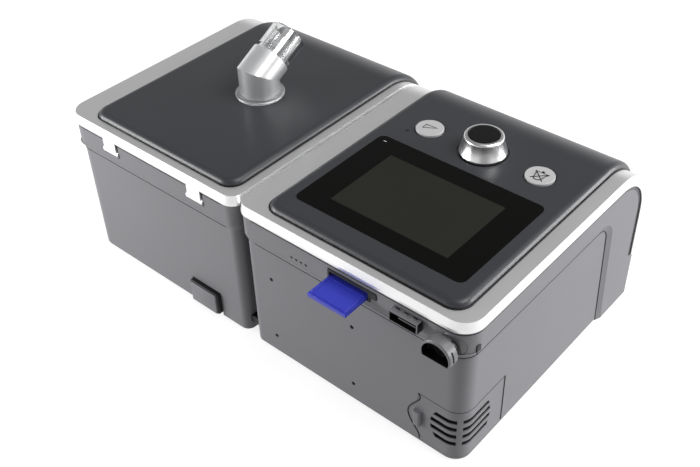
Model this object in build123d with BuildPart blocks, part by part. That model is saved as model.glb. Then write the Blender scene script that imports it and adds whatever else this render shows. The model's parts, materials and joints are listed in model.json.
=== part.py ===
from build123d import *
import math
import os

os.makedirs("parts", exist_ok=True)

# Outer outline of the two docked units, in millimetres
# X runs along the long side, the humidifier at +X; the user sits at -Y; Z is up from the table
length = 290.0
unit_gap = 0.8
main_width = 148.6
rear_y = 78.5
front_y = -87.5
wrap_radius = 27.0
foot_height = 2.0
skirt_height = 18.0
seam_z = 95.0
skirt_end_z = 34.0
outer_corner = 12.0
dock_corner = 8.0

# Casings
wall = 2.5
floor_thickness = 2.5
trim_lip = 0.8
ledge_inset = 1.6
pillar_proud = 3.5
strip_top_inset = 35.0
strip_foot_inset = 29.0
strip_corner = 10.0
ledge_slope = 4.0
shelf_width = 5.0
shelf_thickness = 2.0
shelf_front_inset = 32.5
shelf_rear_inset = 14.5
post_radius = 4.0
screw_radius = 1.5
screw_head_radius = 3.0
screw_head_height = 1.6
screw_recess = 1.8
screw_length = 9.0
foot_radius = 7.0
foot_recess = 0.6
foot_edge = 0.5
base_edge = 1.2
floor_overlap = 4.0
fit = 0.15
moving_fit = 0.3
cut_over = 1.0
foot_inset_x = 20.0
foot_front_inset = 15.5
foot_rear_inset = 24.5
post_front_inset = 41.5
post_rear_inset = 20.5
post_bay_inset = 50.5

# Silver trim and dark panels, measured outwards from the seam
trim_rise = 6.0
trim_slope_run = 4.5
trim_slope_drop = 1.0
panel_rise = 9.5
panel_wall = 2.5
panel_seat = 2.0
panel_seat_width = 2.0
panel_edge = 4.0
panel_corner = 9.0
rear_border = 6.0
main_border_outer = 9.5
main_border_dock = 15.0
lid_border_outer = 17.5
lid_border_dock = 6.6

# Controls on the main unit
glass_width = 105.5
glass_depth = 72.5
glass_corner = 4.0
glass_thickness = 1.9
glass_rear_border = 13.5
screen_width = 73.4
screen_depth = 49.0
screen_shift = 1.0
controls_gap = 20.7
knob_height = 11.2
knob_base_radius = 13.2
knob_rim_radius = 11.0
knob_rim_edge = 1.6
knob_waist_radius = 11.7
knob_band_height = 1.2
knob_cap_radius = 8.9
knob_recess_radius = 14.2
knob_recess_depth = 0.8
knob_travel = 0.6
button_spacing = 71.4
button_radius = 8.0
button_height = 0.7
button_travel = 0.5
shaft_radius = 3.0
shaft_clearance = 0.5
plunger_radius = 3.9
plunger_floor = 1.0
plunger_depth = 6.0
bushing_radius = 4.6
bushing_rise = 1.5
encoder_size = 14.0
knob_cavity_radius = 8.5
knob_cavity_height = 3.4
knob_cap_thickness = 3.0
knob_cap_edge = 0.8
button_flange_radius = 9.5
button_flange_thickness = 1.4
button_depth = 4.2
button_edge = 0.4
key_dish = 0.8
switch_size = 6.0
switch_stem_radius = 1.75
switch_stem_height = 0.5
light_inset_x = 4.4
light_inset_y = 3.4
light_radius = 1.2
board_thickness = 1.6
display_board_depth = 10.5
module_border = 2.2
module_gap = 0.1
boss_radius = 3.0
boss_inset = 8.0

# Rear connectors on the upper casing
board_drop = 13.1
card_width = 24.0
card_length = 32.0
card_thickness = 2.1
card_drop = 10.0
card_shown = 16.0
card_push = 13.0
slot_inset = 54.1
slot_width = 30.7
slot_drop = 11.0
slot_height = 7.0
slot_proud = 0.5
slot_flange = 1.8
slot_flange_depth = 2.0
slot_notch_height = 2.0
slot_tab_height = 4.0
socket_wall = 1.2
socket_length = 32.5
card_chamfer = 4.0
card_inset = 17.3
port_inset = 33.5
port_width = 19.0
port_height = 9.0
port_drop = 5.7
port_proud = 4.5
port_wall = 1.7
port_depth = 9.0
port_back = 1.5
inlet_inset = 10.8
inlet_radius = 9.3
inlet_drop = 10.0
inlet_foot_drop = 4.2
inlet_proud = 8.0
inlet_wall = 1.8
inlet_floor = 0.5
inlet_neck_radius = 7.0
inlet_neck_depth = 8.7
jack_radius = 3.3
jack_depth = 7.2
pin_radius = 1.0
vent_gap = 20.0
vent_count = 4
vent_pitch = 3.3
vent_size = 2.2
vent_drop = 11.0
oval_inset = 9.5
oval_drop = 12.5
oval_height = 6.0
oval_width = 3.0
sounder_radius = 5.0
sounder_depth = 6.0
sounder_drop = 6.5

# Accessory holes on the rear of the lower casing
accessory_inset = 48.6
accessory_z = 35.75
accessory_spacing_x = 56.4
accessory_spacing_z = 42.3
accessory_hole_radius = 1.25
accessory_boss_radius = 3.6
accessory_depth = 8.0

# Filter cover round the rear outer corner
cover_top_z = 38.0
cover_rear_reach = 29.5
cover_side_reach = 39.0
cover_thickness = 2.2
cover_wave = (1.5, 5.7, 2.0, -1.5)
cover_wave_step = 8.4
cover_lug_height = 10.0
cover_lug_width = 4.3
cover_lug_inset = 3.1
cover_lug_low_z = 16.0
cover_lug_proud = 2.5
louvre_rows = 4
louvre_z = 22.5
louvre_pitch = 5.4
louvre_height = 3.0
louvre_rear_radius = 15.0
louvre_side_radius = 21.0
louvre_mullion = 3.4
foam_thickness = 6.0
intake_radius = 8.0
intake_inset = 18.0

# Blower inside the main unit
blower_inset_x = 67.0
blower_inset_y = 65.5
blower_mid_z = 46.0
impeller_radius = 28.0
impeller_height = 10.0
volute_radius = 31.5
volute_wall = 3.2
volute_height = 18.0
blade_count = 11
spigot_radius = 12.0
spigot_bore = 9.5
volute_bore = 8.5
spigot_reach = 20.0
spigot_flange_radius = 17.0
spigot_flange_thickness = 2.0
hose_length = 30.0
hose_grip = 5.0
hose_wall = 2.0
impeller_floor = 4.0
blade_thickness = 1.4
blade_lean = 0.75
hub_radius = 8.0
motor_radius = 20.0
motor_height = 22.0
motor_shaft_radius = 2.5
running_fit = 0.05
mount_radius = 5.0
mount_circle = 29.0
mount_count = 3
collar_radius = 15.0
collar_bore = 12.5
collar_height = 6.0
duct_height = 9.5
duct_width = 34.0
duct_wall = 1.5
duct_reach = 18.0
muffler_reach = 18.0
muffler_inset = 54.5
muffler_gap = 0.3
muffler_wall = 1.5
dock_inset = 48.5
dock_z = 24.0
dock_width = 10.0
dock_height = 6.0
dock_flange = 3.0
dock_reach = 5.0

# Humidifier
tub_wall = 2.2
tub_dock_inset = 25.6
tub_outer_inset = 23.0
tub_front_inset = 30.5
tub_rear_inset = 26.5
tub_drop = 1.8
tub_corner = 12.0
tub_rim_height = 3.0
tub_rim_width = 2.0
tub_port_radius = 10.0
heater_radius = 42.0
heater_thickness = 4.0
insulator_thickness = 3.5
base_plate_radius = 40.0
base_plate_thickness = 1.5
inlet_seal_radius = 17.0
inlet_seal_length = 13.0
tab_width = 10.6
tab_foot_width = 12.6
tab_thickness = 2.5
tab_outer_inset = 38.0
tab_dock_inset = 31.6
hinge_inset = 2.1
hinge_drop = 8.0
knuckle_radius = 2.3
hinge_pin_radius = 1.1
hinge_boss_length = 4.0
hinge_boss_depth = 3.2
hinge_boss_height = 6.0
liner_thickness = 2.0
liner_rise = 1.0
liner_front_inset = 29.5
liner_post_radius = 2.5
liner_post_inset = 8.0
lid_seal_width = 4.0
release_depth = 10.0
release_face_thickness = 0.8
release_face_border = 1.2
tongue_depth = 4.0
tongue_inset = 6.0
tongue_low_z = 8.0
tongue_high_z = 13.0
tongue_reach = 10.6
release_inset = 24.2
release_width = 23.4
release_top_z = 20.0
release_proud = 3.6
release_travel = 2.5
release_corner = 4.0

# Elbow on the lid
elbow_inset_x = 58.8
elbow_inset_y = 80.8
elbow_tilt = 28.0
elbow_stub_radius = 12.0
elbow_flange_radius = 14.7
elbow_flange_height = 1.4
elbow_ring_radius = 13.2
elbow_ring_height = 0.8
elbow_rise = 11.5
elbow_sleeve_reach = 12.0
elbow_wall = 1.8
cuff_radius = 11.0
cuff_root_radius = 10.2
cuff_reach = 30.0
cuff_straight = 15.0
cuff_wall = 1.5
spigot_end_drop = 4.0
elbow_spigot_radius = 10.2
retainer_radius = 13.5
retainer_thickness = 1.5

# Derived limits of the two units
main_low_x = -length / 2
main_high_x = main_low_x + main_width
tank_low_x = main_high_x + unit_gap
tank_high_x = length / 2
arc_y = front_y + wrap_radius
arc_z = seam_z - wrap_radius
panel_top_z = seam_z + panel_rise
panel_under_z = panel_top_z - panel_wall
case_rear_y = rear_y - trim_lip
lower_rear_y = case_rear_y - ledge_inset
floor_top_z = foot_height + floor_thickness
ledge_z = seam_z - skirt_height

# Places of the casings' feet, posts, ribs and front strip
pillar_front_y = front_y - pillar_proud
strip_top_y = front_y + strip_top_inset
strip_foot_y = front_y + strip_foot_inset
shelf_front_y = front_y + shelf_front_inset
shelf_rear_y = rear_y - shelf_rear_inset
foot_front_y = front_y + foot_front_inset
foot_rear_y = rear_y - foot_rear_inset
post_front_y = front_y + post_front_inset
post_rear_y = rear_y - post_rear_inset
post_bay_y = rear_y - post_bay_inset

# Places of the controls, which all follow the screen glass
control_x = main_low_x + main_border_outer + (main_width - main_border_outer - main_border_dock) / 2
glass_high_y = rear_y - rear_border - glass_rear_border
glass_low_y = glass_high_y - glass_depth
knob_y = glass_low_y - controls_gap
button_y = knob_y
light_x = control_x + glass_width / 2 - light_inset_x
light_y = glass_low_y + light_inset_y
knob_top_z = panel_top_z + knob_height
shaft_top_z = knob_top_z - knob_cap_thickness - shaft_clearance
plunger_low_z = panel_top_z - plunger_depth
button_under_z = panel_top_z - button_depth
display_board_z = panel_top_z - display_board_depth

# Places of what stands in the main unit's rear wall
board_z = seam_z - board_drop
card_z = seam_z - card_drop
slot_low_x = main_low_x + slot_inset
slot_high_x = slot_low_x + slot_width
slot_low_z = seam_z - slot_drop
slot_high_z = slot_low_z + slot_height
card_x = slot_low_x + card_inset
socket_low_y = rear_y - socket_length
port_x = main_low_x + port_inset
port_z = seam_z - port_drop
inlet_x = main_low_x + inlet_inset
inlet_z = seam_z - inlet_drop
inlet_foot_z = inlet_z - inlet_foot_drop
inlet_bore_y = case_rear_y + inlet_floor
inlet_neck_y = case_rear_y - inlet_neck_depth
jack_bottom_y = inlet_bore_y - jack_depth
vent_x = slot_high_x + vent_gap
vent_z = seam_z - vent_drop
oval_y = rear_y - oval_inset
oval_z = seam_z - oval_drop
sounder_z = seam_z - sounder_drop
accessory_x = main_high_x - accessory_inset
cover_rear_x = main_low_x + cover_rear_reach
cover_side_y = rear_y - cover_side_reach
cover_lug_low_x = cover_rear_x - cover_lug_inset

# Places of the air path and of the docking parts
blower_x = main_low_x + blower_inset_x
blower_y = front_y + blower_inset_y
spigot_z = blower_mid_z
spigot_y = blower_y + volute_radius - spigot_bore
duct_low_y = blower_y - duct_reach
muffler_high_x = blower_x + muffler_reach
muffler_low_y = rear_y - muffler_inset
dock_y = rear_y - dock_inset
tongue_high_y = rear_y - tongue_inset
tongue_low_y = tongue_high_y - tongue_depth
tongue_end_x = main_high_x - tongue_reach

# Places of the tub, the hinge, the release button and the elbow
tub_low_x = tank_low_x + tub_dock_inset
tub_high_x = tank_high_x - tub_outer_inset
tub_low_y = front_y + tub_front_inset
tub_high_y = rear_y - tub_rear_inset
tub_top_z = seam_z - tub_drop
tab_x = (tank_high_x - tab_outer_inset, tank_low_x + tab_dock_inset)
hinge_y = rear_y - hinge_inset
hinge_z = seam_z - hinge_drop
liner_z = seam_z + liner_rise
liner_front_y = front_y + liner_front_inset
release_low_x = tank_low_x + release_inset
release_high_x = release_low_x + release_width
elbow_x = tank_low_x + elbow_inset_x
elbow_y = rear_y - elbow_inset_y
spigot_end_z = seam_z - spigot_end_drop


def rectangle_between(low_x, high_x, low_y, high_y, mode=Mode.ADD):
    """Add or cut a rectangle from its limits on the sketch in work."""
    with Locations(((low_x + high_x) / 2, (low_y + high_y) / 2)):
        Rectangle(high_x - low_x, high_y - low_y, mode=mode)


def block_between(low, high, mode=Mode.ADD):
    """Add or cut a square block from its two far corners in the part in work."""
    with BuildSketch(Plane.XY.offset(low[2])) as outline:
        rectangle_between(low[0], high[0], low[1], high[1])
    extrude(outline.sketch, amount=high[2] - low[2], mode=mode)


def upright(center, radius, low_z, high_z, mode=Mode.ADD):
    """Add or cut an upright round post in the part in work."""
    with BuildSketch(Plane.XY.offset(low_z)) as outline:
        with Locations(center):
            Circle(radius)
    extrude(outline.sketch, amount=high_z - low_z, mode=mode)


def along_y(center_xz, radius, low_y, high_y, mode=Mode.ADD):
    """Add or cut a round post that runs along Y."""
    with BuildSketch(Plane.XZ.offset(-high_y)) as outline:
        with Locations(center_xz):
            Circle(radius)
    extrude(outline.sketch, amount=high_y - low_y, mode=mode)


def along_x(center_yz, radius, low_x, high_x, mode=Mode.ADD):
    """Add or cut a round post that runs along X."""
    with BuildSketch(Plane.YZ.offset(low_x)) as outline:
        with Locations(center_yz):
            Circle(radius)
    extrude(outline.sketch, amount=high_x - low_x, mode=mode)


def wrap_outline(outer, inner, rear, end_z):
    """Draw the band between two offsets of the seam, over the top and down the front."""
    with BuildLine() as outline:
        Line((rear, seam_z + outer), (arc_y, seam_z + outer))
        CenterArc((arc_y, arc_z), wrap_radius + outer, 90, 90)
        Line((front_y - outer, arc_z), (front_y - outer, end_z))
        Line((front_y - outer, end_z), (front_y - inner, end_z))
        Line((front_y - inner, end_z), (front_y - inner, arc_z))
        CenterArc((arc_y, arc_z), wrap_radius + inner, 180, -90)
        Line((arc_y, seam_z + inner), (rear, seam_z + inner))
        Line((rear, seam_z + inner), (rear, seam_z + outer))
    make_face(outline.edges())


def round_rear(block, low_corner, high_corner):
    """Round the two upright rear edges of the part in work."""
    corners = block.edges().filter_by(Axis.Z).group_by(Axis.Y)[-1].sort_by(Axis.X)
    fillet(corners[0], low_corner)
    corners = block.edges().filter_by(Axis.Z).group_by(Axis.Y)[-1].sort_by(Axis.X)
    fillet(corners[-1], high_corner)


def wrap_block(low_x, high_x, outer, inner, rear, end_z, low_corner, high_corner):
    """Make the band between two offsets of the seam, with its rear corners rounded."""
    with BuildPart() as block:
        with BuildSketch(Plane.YZ.offset(low_x)):
            wrap_outline(outer, inner, rear, end_z)
        extrude(amount=high_x - low_x)
        round_rear(block, low_corner, high_corner)
    return block.part


def rim_edges(shape, offset):
    """Pick the outer edges of a wrapped band that lie at one offset from the seam."""
    picked = []
    for edge in shape.edges():
        offsets = []
        for place in (0, 0.5, 1):
            point = edge @ place
            if point.Y >= arc_y:
                offsets.append(point.Z - seam_z)
            elif point.Z <= arc_z:
                offsets.append(front_y - point.Y)
            else:
                offsets.append(math.hypot(point.Y - arc_y, point.Z - arc_z) - wrap_radius)
        on_offset = max(abs(value - offset) for value in offsets) < 0.01
        low_end = (edge @ 0).Z < arc_z and (edge @ 1).Z < arc_z and abs((edge @ 0).Z - (edge @ 1).Z) < 0.01
        if on_offset and not low_end:
            picked.append(edge)
    return picked


def trim_frame(low_x, high_x, window_low, window_high, low_corner, high_corner):
    """Make a silver frame: bevelled outside, with a stepped window for the dark panel."""
    window = wrap_block(
        window_low, window_high, panel_rise, panel_seat, rear_y - rear_border, skirt_end_z - cut_over,
        panel_corner, panel_corner,
    )
    seat = wrap_block(
        window_low + panel_seat_width, window_high - panel_seat_width, panel_seat + cut_over, -cut_over,
        rear_y - rear_border - panel_seat_width, skirt_end_z - cut_over, panel_corner, panel_corner,
    )
    body = wrap_block(low_x, high_x, trim_rise, 0, rear_y, skirt_end_z, low_corner, high_corner)
    with BuildPart() as frame:
        add(body)
        outer_rim = [
            edge for edge in rim_edges(frame.part, trim_rise)
            if (edge @ 0.5).Y > front_y - trim_rise - cut_over and edge.length < main_width + cut_over
        ]
        chamfer(outer_rim, length=trim_slope_drop, length2=trim_slope_run)
        add(window, mode=Mode.SUBTRACT)
        add(seat, mode=Mode.SUBTRACT)
    return frame.part


def dark_panel(window_low, window_high):
    """Make a thin pillowed panel that drops into the stepped window and runs down the front."""
    low_x = window_low + fit
    high_x = window_high - fit
    rear = rear_y - rear_border - fit
    outside = wrap_block(
        low_x, high_x, panel_rise, panel_seat, rear, skirt_end_z, panel_corner - fit, panel_corner - fit
    )
    inside = wrap_block(
        low_x + panel_wall, high_x - panel_wall, panel_rise - panel_wall, panel_seat - cut_over,
        rear - panel_wall, skirt_end_z - cut_over, panel_corner - panel_wall, panel_corner - panel_wall,
    )
    with BuildPart() as panel:
        add(outside)
        fillet(rim_edges(panel.part, panel_rise), panel_edge)
        add(inside, mode=Mode.SUBTRACT)
    return panel.part


def upper_hollow(low_x, high_x, seam_gap, low_corner, high_corner):
    """Make the space inside a skirt, open at the top and underneath."""
    radius = wrap_radius - seam_gap - wall
    top_z = seam_z - seam_gap - wall
    step_z = skirt_end_z - seam_gap - wall
    face_y = front_y + seam_gap + wall
    with BuildPart() as hollow:
        with BuildSketch(Plane.YZ.offset(low_x)):
            with BuildLine():
                Polyline(
                    (case_rear_y - wall, seam_z + cut_over), (arc_y, seam_z + cut_over), (arc_y, top_z)
                )
                CenterArc((arc_y, arc_z), radius, 90, 90)
                Polyline(
                    (face_y, arc_z), (face_y, step_z), (pillar_front_y + wall, step_z),
                    (pillar_front_y + wall, foot_height - cut_over),
                    (case_rear_y - wall, foot_height - cut_over), (case_rear_y - wall, seam_z + cut_over),
                )
            make_face()
        extrude(amount=high_x - low_x)
        round_rear(hollow, low_corner, high_corner)
    return hollow.part


def upper_casing(low_x, high_x, low_corner, high_corner, seam_gap, posts):
    """Make a skirt with full-height front pillars, open at the top and underneath."""
    outer_low = low_x + trim_lip
    outer_high = high_x - trim_lip
    top_z = seam_z - seam_gap
    face_y = front_y + seam_gap
    radius = wrap_radius - seam_gap
    step_z = skirt_end_z - seam_gap
    with BuildPart() as casing:
        with BuildSketch(Plane.YZ.offset(outer_low)):
            with BuildLine():
                Line((case_rear_y, top_z), (arc_y, top_z))
                CenterArc((arc_y, arc_z), radius, 90, 90)
                Polyline(
                    (face_y, arc_z), (face_y, step_z), (pillar_front_y, step_z),
                    (pillar_front_y, foot_height), (strip_foot_y, foot_height),
                )
                FilletPolyline(
                    (strip_foot_y, foot_height), (strip_top_y, ledge_z), (case_rear_y, ledge_z),
                    radius=strip_corner,
                )
                Line((case_rear_y, ledge_z), (case_rear_y, top_z))
            make_face()
        extrude(amount=outer_high - outer_low)
        round_rear(casing, low_corner - trim_lip, high_corner - trim_lip)
        side_face = casing.faces().sort_by(Axis.X)[0]
        ledge_edge = side_face.edges().filter_by(Axis.Y).group_by(Axis.Z)[-2].sort_by(Axis.Y)[-1]
        chamfer(ledge_edge, length=ledge_slope, length2=ledge_inset - fit, reference=side_face)
        add(
            upper_hollow(
                outer_low + wall, outer_high - wall, seam_gap, low_corner - trim_lip - wall,
                high_corner - trim_lip - wall,
            ),
            mode=Mode.SUBTRACT,
        )
        for shelf_low in (outer_low + wall, outer_high - wall - shelf_width):
            block_between(
                (shelf_low, shelf_front_y, board_z - shelf_thickness),
                (shelf_low + shelf_width, shelf_rear_y, board_z),
            )
        for post in posts:
            upright(post, post_radius, floor_top_z, board_z - shelf_thickness / 2)
            upright(post, screw_radius + fit, floor_top_z, floor_top_z + screw_length, mode=Mode.SUBTRACT)
    return casing.part


def lower_hollow(low_x, high_x, low_corner, high_corner):
    """Make the space inside a lower casing, open at the top and the front."""
    inset = trim_lip + ledge_inset + wall
    with BuildPart() as hollow:
        block_between(
            (low_x, strip_foot_y - cut_over, floor_top_z), (high_x, lower_rear_y - wall, ledge_z + cut_over)
        )
        round_rear(hollow, low_corner - inset, high_corner - inset)
    return hollow.part


def lower_casing(low_x, high_x, low_corner, high_corner, feet, posts):
    """Make a tub with a floor that runs forward between the front pillars."""
    outer_low = low_x + trim_lip + ledge_inset
    outer_high = high_x - trim_lip - ledge_inset
    pillar_low = low_x + trim_lip + wall + fit
    pillar_high = high_x - trim_lip - wall - fit
    with BuildPart() as casing:
        with BuildSketch(Plane.YZ.offset(outer_low)):
            with BuildLine():
                FilletPolyline(
                    (strip_foot_y, foot_height), (strip_top_y, ledge_z), (lower_rear_y, ledge_z),
                    radius=strip_corner,
                )
                Polyline(
                    (lower_rear_y, ledge_z), (lower_rear_y, foot_height), (strip_foot_y, foot_height)
                )
            make_face()
        extrude(amount=outer_high - outer_low)
        round_rear(casing, low_corner - trim_lip - ledge_inset, high_corner - trim_lip - ledge_inset)
        bottom = casing.faces().sort_by(Axis.Z)[0]
        base_edges = [edge for edge in bottom.edges() if (edge @ 0.5).Y > strip_foot_y + cut_over]
        fillet(base_edges, base_edge)
        add(lower_hollow(outer_low + wall, outer_high - wall, low_corner, high_corner), mode=Mode.SUBTRACT)
        block_between(
            (pillar_low, pillar_front_y + wall + fit, foot_height),
            (pillar_high, strip_foot_y + floor_overlap, floor_top_z),
        )
        for foot in feet:
            upright(foot, foot_radius + fit, foot_height, foot_height + foot_recess, mode=Mode.SUBTRACT)
        for post in posts:
            upright(post, screw_radius + fit, foot_height, floor_top_z, mode=Mode.SUBTRACT)
            upright(
                post, screw_head_radius + fit, foot_height, foot_height + screw_recess, mode=Mode.SUBTRACT
            )
    return casing.part


def round_feet(places):
    """Make one unit's soft feet, let into its floor."""
    with BuildPart() as feet:
        for place in places:
            upright(place, foot_radius, 0, foot_height + foot_recess)
        fillet(feet.edges().group_by(Axis.Z)[0], foot_edge)
    return feet.part


def casing_screws(places):
    """Make one unit's casing screws, driven up from below."""
    with BuildPart() as screws:
        for place in places:
            head_top_z = foot_height + screw_recess
            upright(place, screw_head_radius, head_top_z - screw_head_height, head_top_z)
            upright(place, screw_radius, head_top_z, floor_top_z + screw_length - cut_over)
    return screws.part


def feet_of(low_x, high_x):
    """Give the places of one unit's four feet."""
    return [
        (low_x + foot_inset_x, foot_front_y), (high_x - foot_inset_x, foot_front_y),
        (low_x + foot_inset_x, foot_rear_y), (high_x - foot_inset_x, foot_rear_y),
    ]


def posts_of(low_x, high_x, low_rear_y):
    """Give the places of one unit's four screw posts, against the side walls."""
    inset = trim_lip + ledge_inset + wall + moving_fit + post_radius
    return [
        (low_x + inset, post_front_y), (high_x - inset, post_front_y),
        (low_x + inset, low_rear_y), (high_x - inset, post_rear_y),
    ]


main_feet_places = feet_of(main_low_x, main_high_x)
tank_feet_places = feet_of(tank_low_x, tank_high_x)
main_posts = posts_of(main_low_x, main_high_x, post_bay_y)
tank_posts = posts_of(tank_low_x, tank_high_x, post_rear_y)
main_window_low = main_low_x + main_border_outer
main_window_high = main_high_x - main_border_dock
lid_window_low = tank_low_x + lid_border_dock
lid_window_high = tank_high_x - lid_border_outer
shell_low = main_low_x + trim_lip + ledge_inset
shell_high = main_high_x - trim_lip - ledge_inset
tank_shell_low = tank_low_x + trim_lip + ledge_inset
upper_inner_y = case_rear_y - wall
lower_inner_y = lower_rear_y - wall
wall_inner_x = shell_high - wall
plug_end_x = wall_inner_x - dock_reach
dock_low_y = dock_y - dock_width / 2
dock_low_z = dock_z - dock_height / 2


def corner_band(inset, thickness, end_x, end_y, low_z, high_z):
    """Make an upright band that follows the rear outer corner of the main casing."""
    low_x = shell_low + inset
    rear = lower_rear_y - inset
    corner = outer_corner - trim_lip - ledge_inset - inset
    inner_corner = max(corner - thickness, base_edge)
    with BuildPart() as band:
        with BuildSketch(Plane.XY.offset(low_z)):
            with BuildLine():
                FilletPolyline((end_x, rear), (low_x, rear), (low_x, end_y), radius=corner)
                Line((low_x, end_y), (low_x + thickness, end_y))
                FilletPolyline(
                    (low_x + thickness, end_y), (low_x + thickness, rear - thickness),
                    (end_x, rear - thickness), radius=inner_corner,
                )
                Line((end_x, rear - thickness), (end_x, rear))
            make_face()
        extrude(amount=high_z - low_z)
    return band.part


def cover_band(inset, thickness, end_y, low_z, high_z, gap):
    """Make a corner band whose rear end follows the waved edge of the filter cover."""
    past_x = cover_rear_x + 4 * foam_thickness
    far_y = lower_rear_y + 2 * wall
    with BuildPart() as band:
        add(corner_band(inset, thickness, past_x - cut_over, end_y, low_z, high_z))
        with BuildSketch(Plane.XZ.offset(-far_y)):
            with BuildLine():
                Spline(
                    (cover_rear_x + gap, cover_top_z + cut_over),
                    (cover_rear_x + cover_wave[0] + gap, cover_top_z - cover_wave_step),
                    (cover_rear_x + cover_wave[1] + gap, cover_top_z - 2 * cover_wave_step),
                    (cover_rear_x + cover_wave[2] + gap, cover_top_z - 3 * cover_wave_step),
                    (cover_rear_x + cover_wave[3] + gap, floor_top_z - cut_over),
                )
                Polyline(
                    (cover_rear_x + cover_wave[3] + gap, floor_top_z - cut_over),
                    (past_x, floor_top_z - cut_over), (past_x, cover_top_z + cut_over),
                    (cover_rear_x + gap, cover_top_z + cut_over),
                )
            make_face()
        extrude(amount=4 * wall + foam_thickness, mode=Mode.SUBTRACT)
    return band.part


def louvre_cut(plane, center, radius, low, high, reach):
    """Make a round group of level slots, between two limits along the sketch, to cut a wall."""
    with BuildPart() as cut:
        with BuildSketch(plane):
            for row in range(louvre_rows):
                level = louvre_z + (row - (louvre_rows - 1) / 2) * louvre_pitch
                rectangle_between(low, high, level - louvre_height / 2, level + louvre_height / 2)
            with Locations((center, louvre_z)):
                Circle(radius, mode=Mode.INTERSECT)
        extrude(amount=reach)
    return cut.part


# Main unit: the lower casing with its corner filter bay, and the parts of the air path

bay_depth = cover_thickness + moving_fit + foam_thickness + moving_fit
bay_end_x = cover_rear_x + cover_wave[1] + cut_over
bay_wall_y = lower_rear_y - bay_depth
bay_low_y = cover_side_y - cut_over
intake_x = bay_end_x - intake_inset
intake_z = cover_top_z / 2
with BuildPart() as main_lower_casing:
    add(lower_casing(main_low_x, main_high_x, outer_corner, dock_corner, main_feet_places, main_posts))
    add(corner_band(0, bay_depth + wall, bay_end_x + wall, bay_low_y - wall, floor_top_z, cover_top_z + wall))
    add(
        corner_band(
            cover_thickness, bay_depth - cover_thickness, bay_end_x, bay_low_y, floor_top_z,
            cover_top_z + moving_fit,
        ),
        mode=Mode.SUBTRACT,
    )
    add(
        cover_band(
            -wall, cover_thickness + wall + moving_fit, cover_side_y - fit, floor_top_z,
            cover_top_z + fit, fit,
        ),
        mode=Mode.SUBTRACT,
    )
    along_y(
        (intake_x, intake_z), intake_radius, bay_wall_y - wall - cut_over, bay_wall_y + cut_over,
        mode=Mode.SUBTRACT,
    )
    for side in (-0.5, 0.5):
        for rise in (-0.5, 0.5):
            place = (accessory_x + side * accessory_spacing_x, accessory_z + rise * accessory_spacing_z)
            hole_low_y = lower_rear_y - accessory_depth
            along_y(place, accessory_boss_radius, hole_low_y - cut_over, lower_inner_y)
            along_y(
                place, accessory_hole_radius, hole_low_y, lower_rear_y + cut_over, mode=Mode.SUBTRACT
            )
    along_x(
        (spigot_y, spigot_z), spigot_radius + fit, shell_high - wall - cut_over, shell_high + cut_over,
        mode=Mode.SUBTRACT,
    )
    block_between(
        (shell_high - wall - cut_over, dock_low_y - moving_fit, dock_low_z - moving_fit),
        (shell_high + cut_over, dock_low_y + dock_width + moving_fit, dock_low_z + dock_height + moving_fit),
        mode=Mode.SUBTRACT,
    )
    block_between(
        (shell_high - wall - cut_over, tongue_low_y - release_travel - moving_fit, tongue_low_z - moving_fit),
        (shell_high + cut_over, tongue_high_y + moving_fit, tongue_high_z + moving_fit),
        mode=Mode.SUBTRACT,
    )
main_lower_casing.part.label = "main_lower_casing"
export_step(main_lower_casing.part, "parts/main_lower_casing.step")

with BuildPart() as filter_cover:
    add(cover_band(0, cover_thickness, cover_side_y, floor_top_z + fit, cover_top_z, 0))
    corner_line = outer_corner - trim_lip - ledge_inset
    mullion_inset = corner_line * (1 - math.sqrt(0.5))
    mullion_half = louvre_mullion / 2 * math.sqrt(0.5)
    louvre_x = shell_low + mullion_inset + mullion_half
    louvre_y = lower_rear_y - mullion_inset - mullion_half
    add(
        louvre_cut(
            Plane.XZ.offset(-lower_rear_y - cut_over), louvre_x, louvre_rear_radius, louvre_x,
            louvre_x + louvre_rear_radius + cut_over, corner_line,
        ),
        mode=Mode.SUBTRACT,
    )
    add(
        louvre_cut(
            Plane.YZ.offset(shell_low - cut_over), louvre_y, louvre_side_radius,
            louvre_y - louvre_side_radius - cut_over, louvre_y, louvre_x - shell_low,
        ),
        mode=Mode.SUBTRACT,
    )
    block_between(
        (cover_lug_low_x, lower_rear_y - cover_thickness / 2, cover_lug_low_z),
        (
            cover_lug_low_x + cover_lug_width, lower_rear_y + cover_lug_proud,
            cover_lug_low_z + cover_lug_height,
        ),
    )
    lug_edges = filter_cover.edges().filter_by(Axis.Z).group_by(Axis.Y)[-1]
    fillet(lug_edges, base_edge)
filter_cover.part.label = "filter_cover"
export_step(filter_cover.part, "parts/filter_cover.step")

with BuildPart() as filter_foam:
    add(
        corner_band(
            bay_depth - foam_thickness, foam_thickness, bay_end_x - moving_fit, bay_low_y + moving_fit,
            floor_top_z, cover_top_z,
        )
    )
filter_foam.part.label = "filter_foam"
export_step(filter_foam.part, "parts/filter_foam.step")

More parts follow.
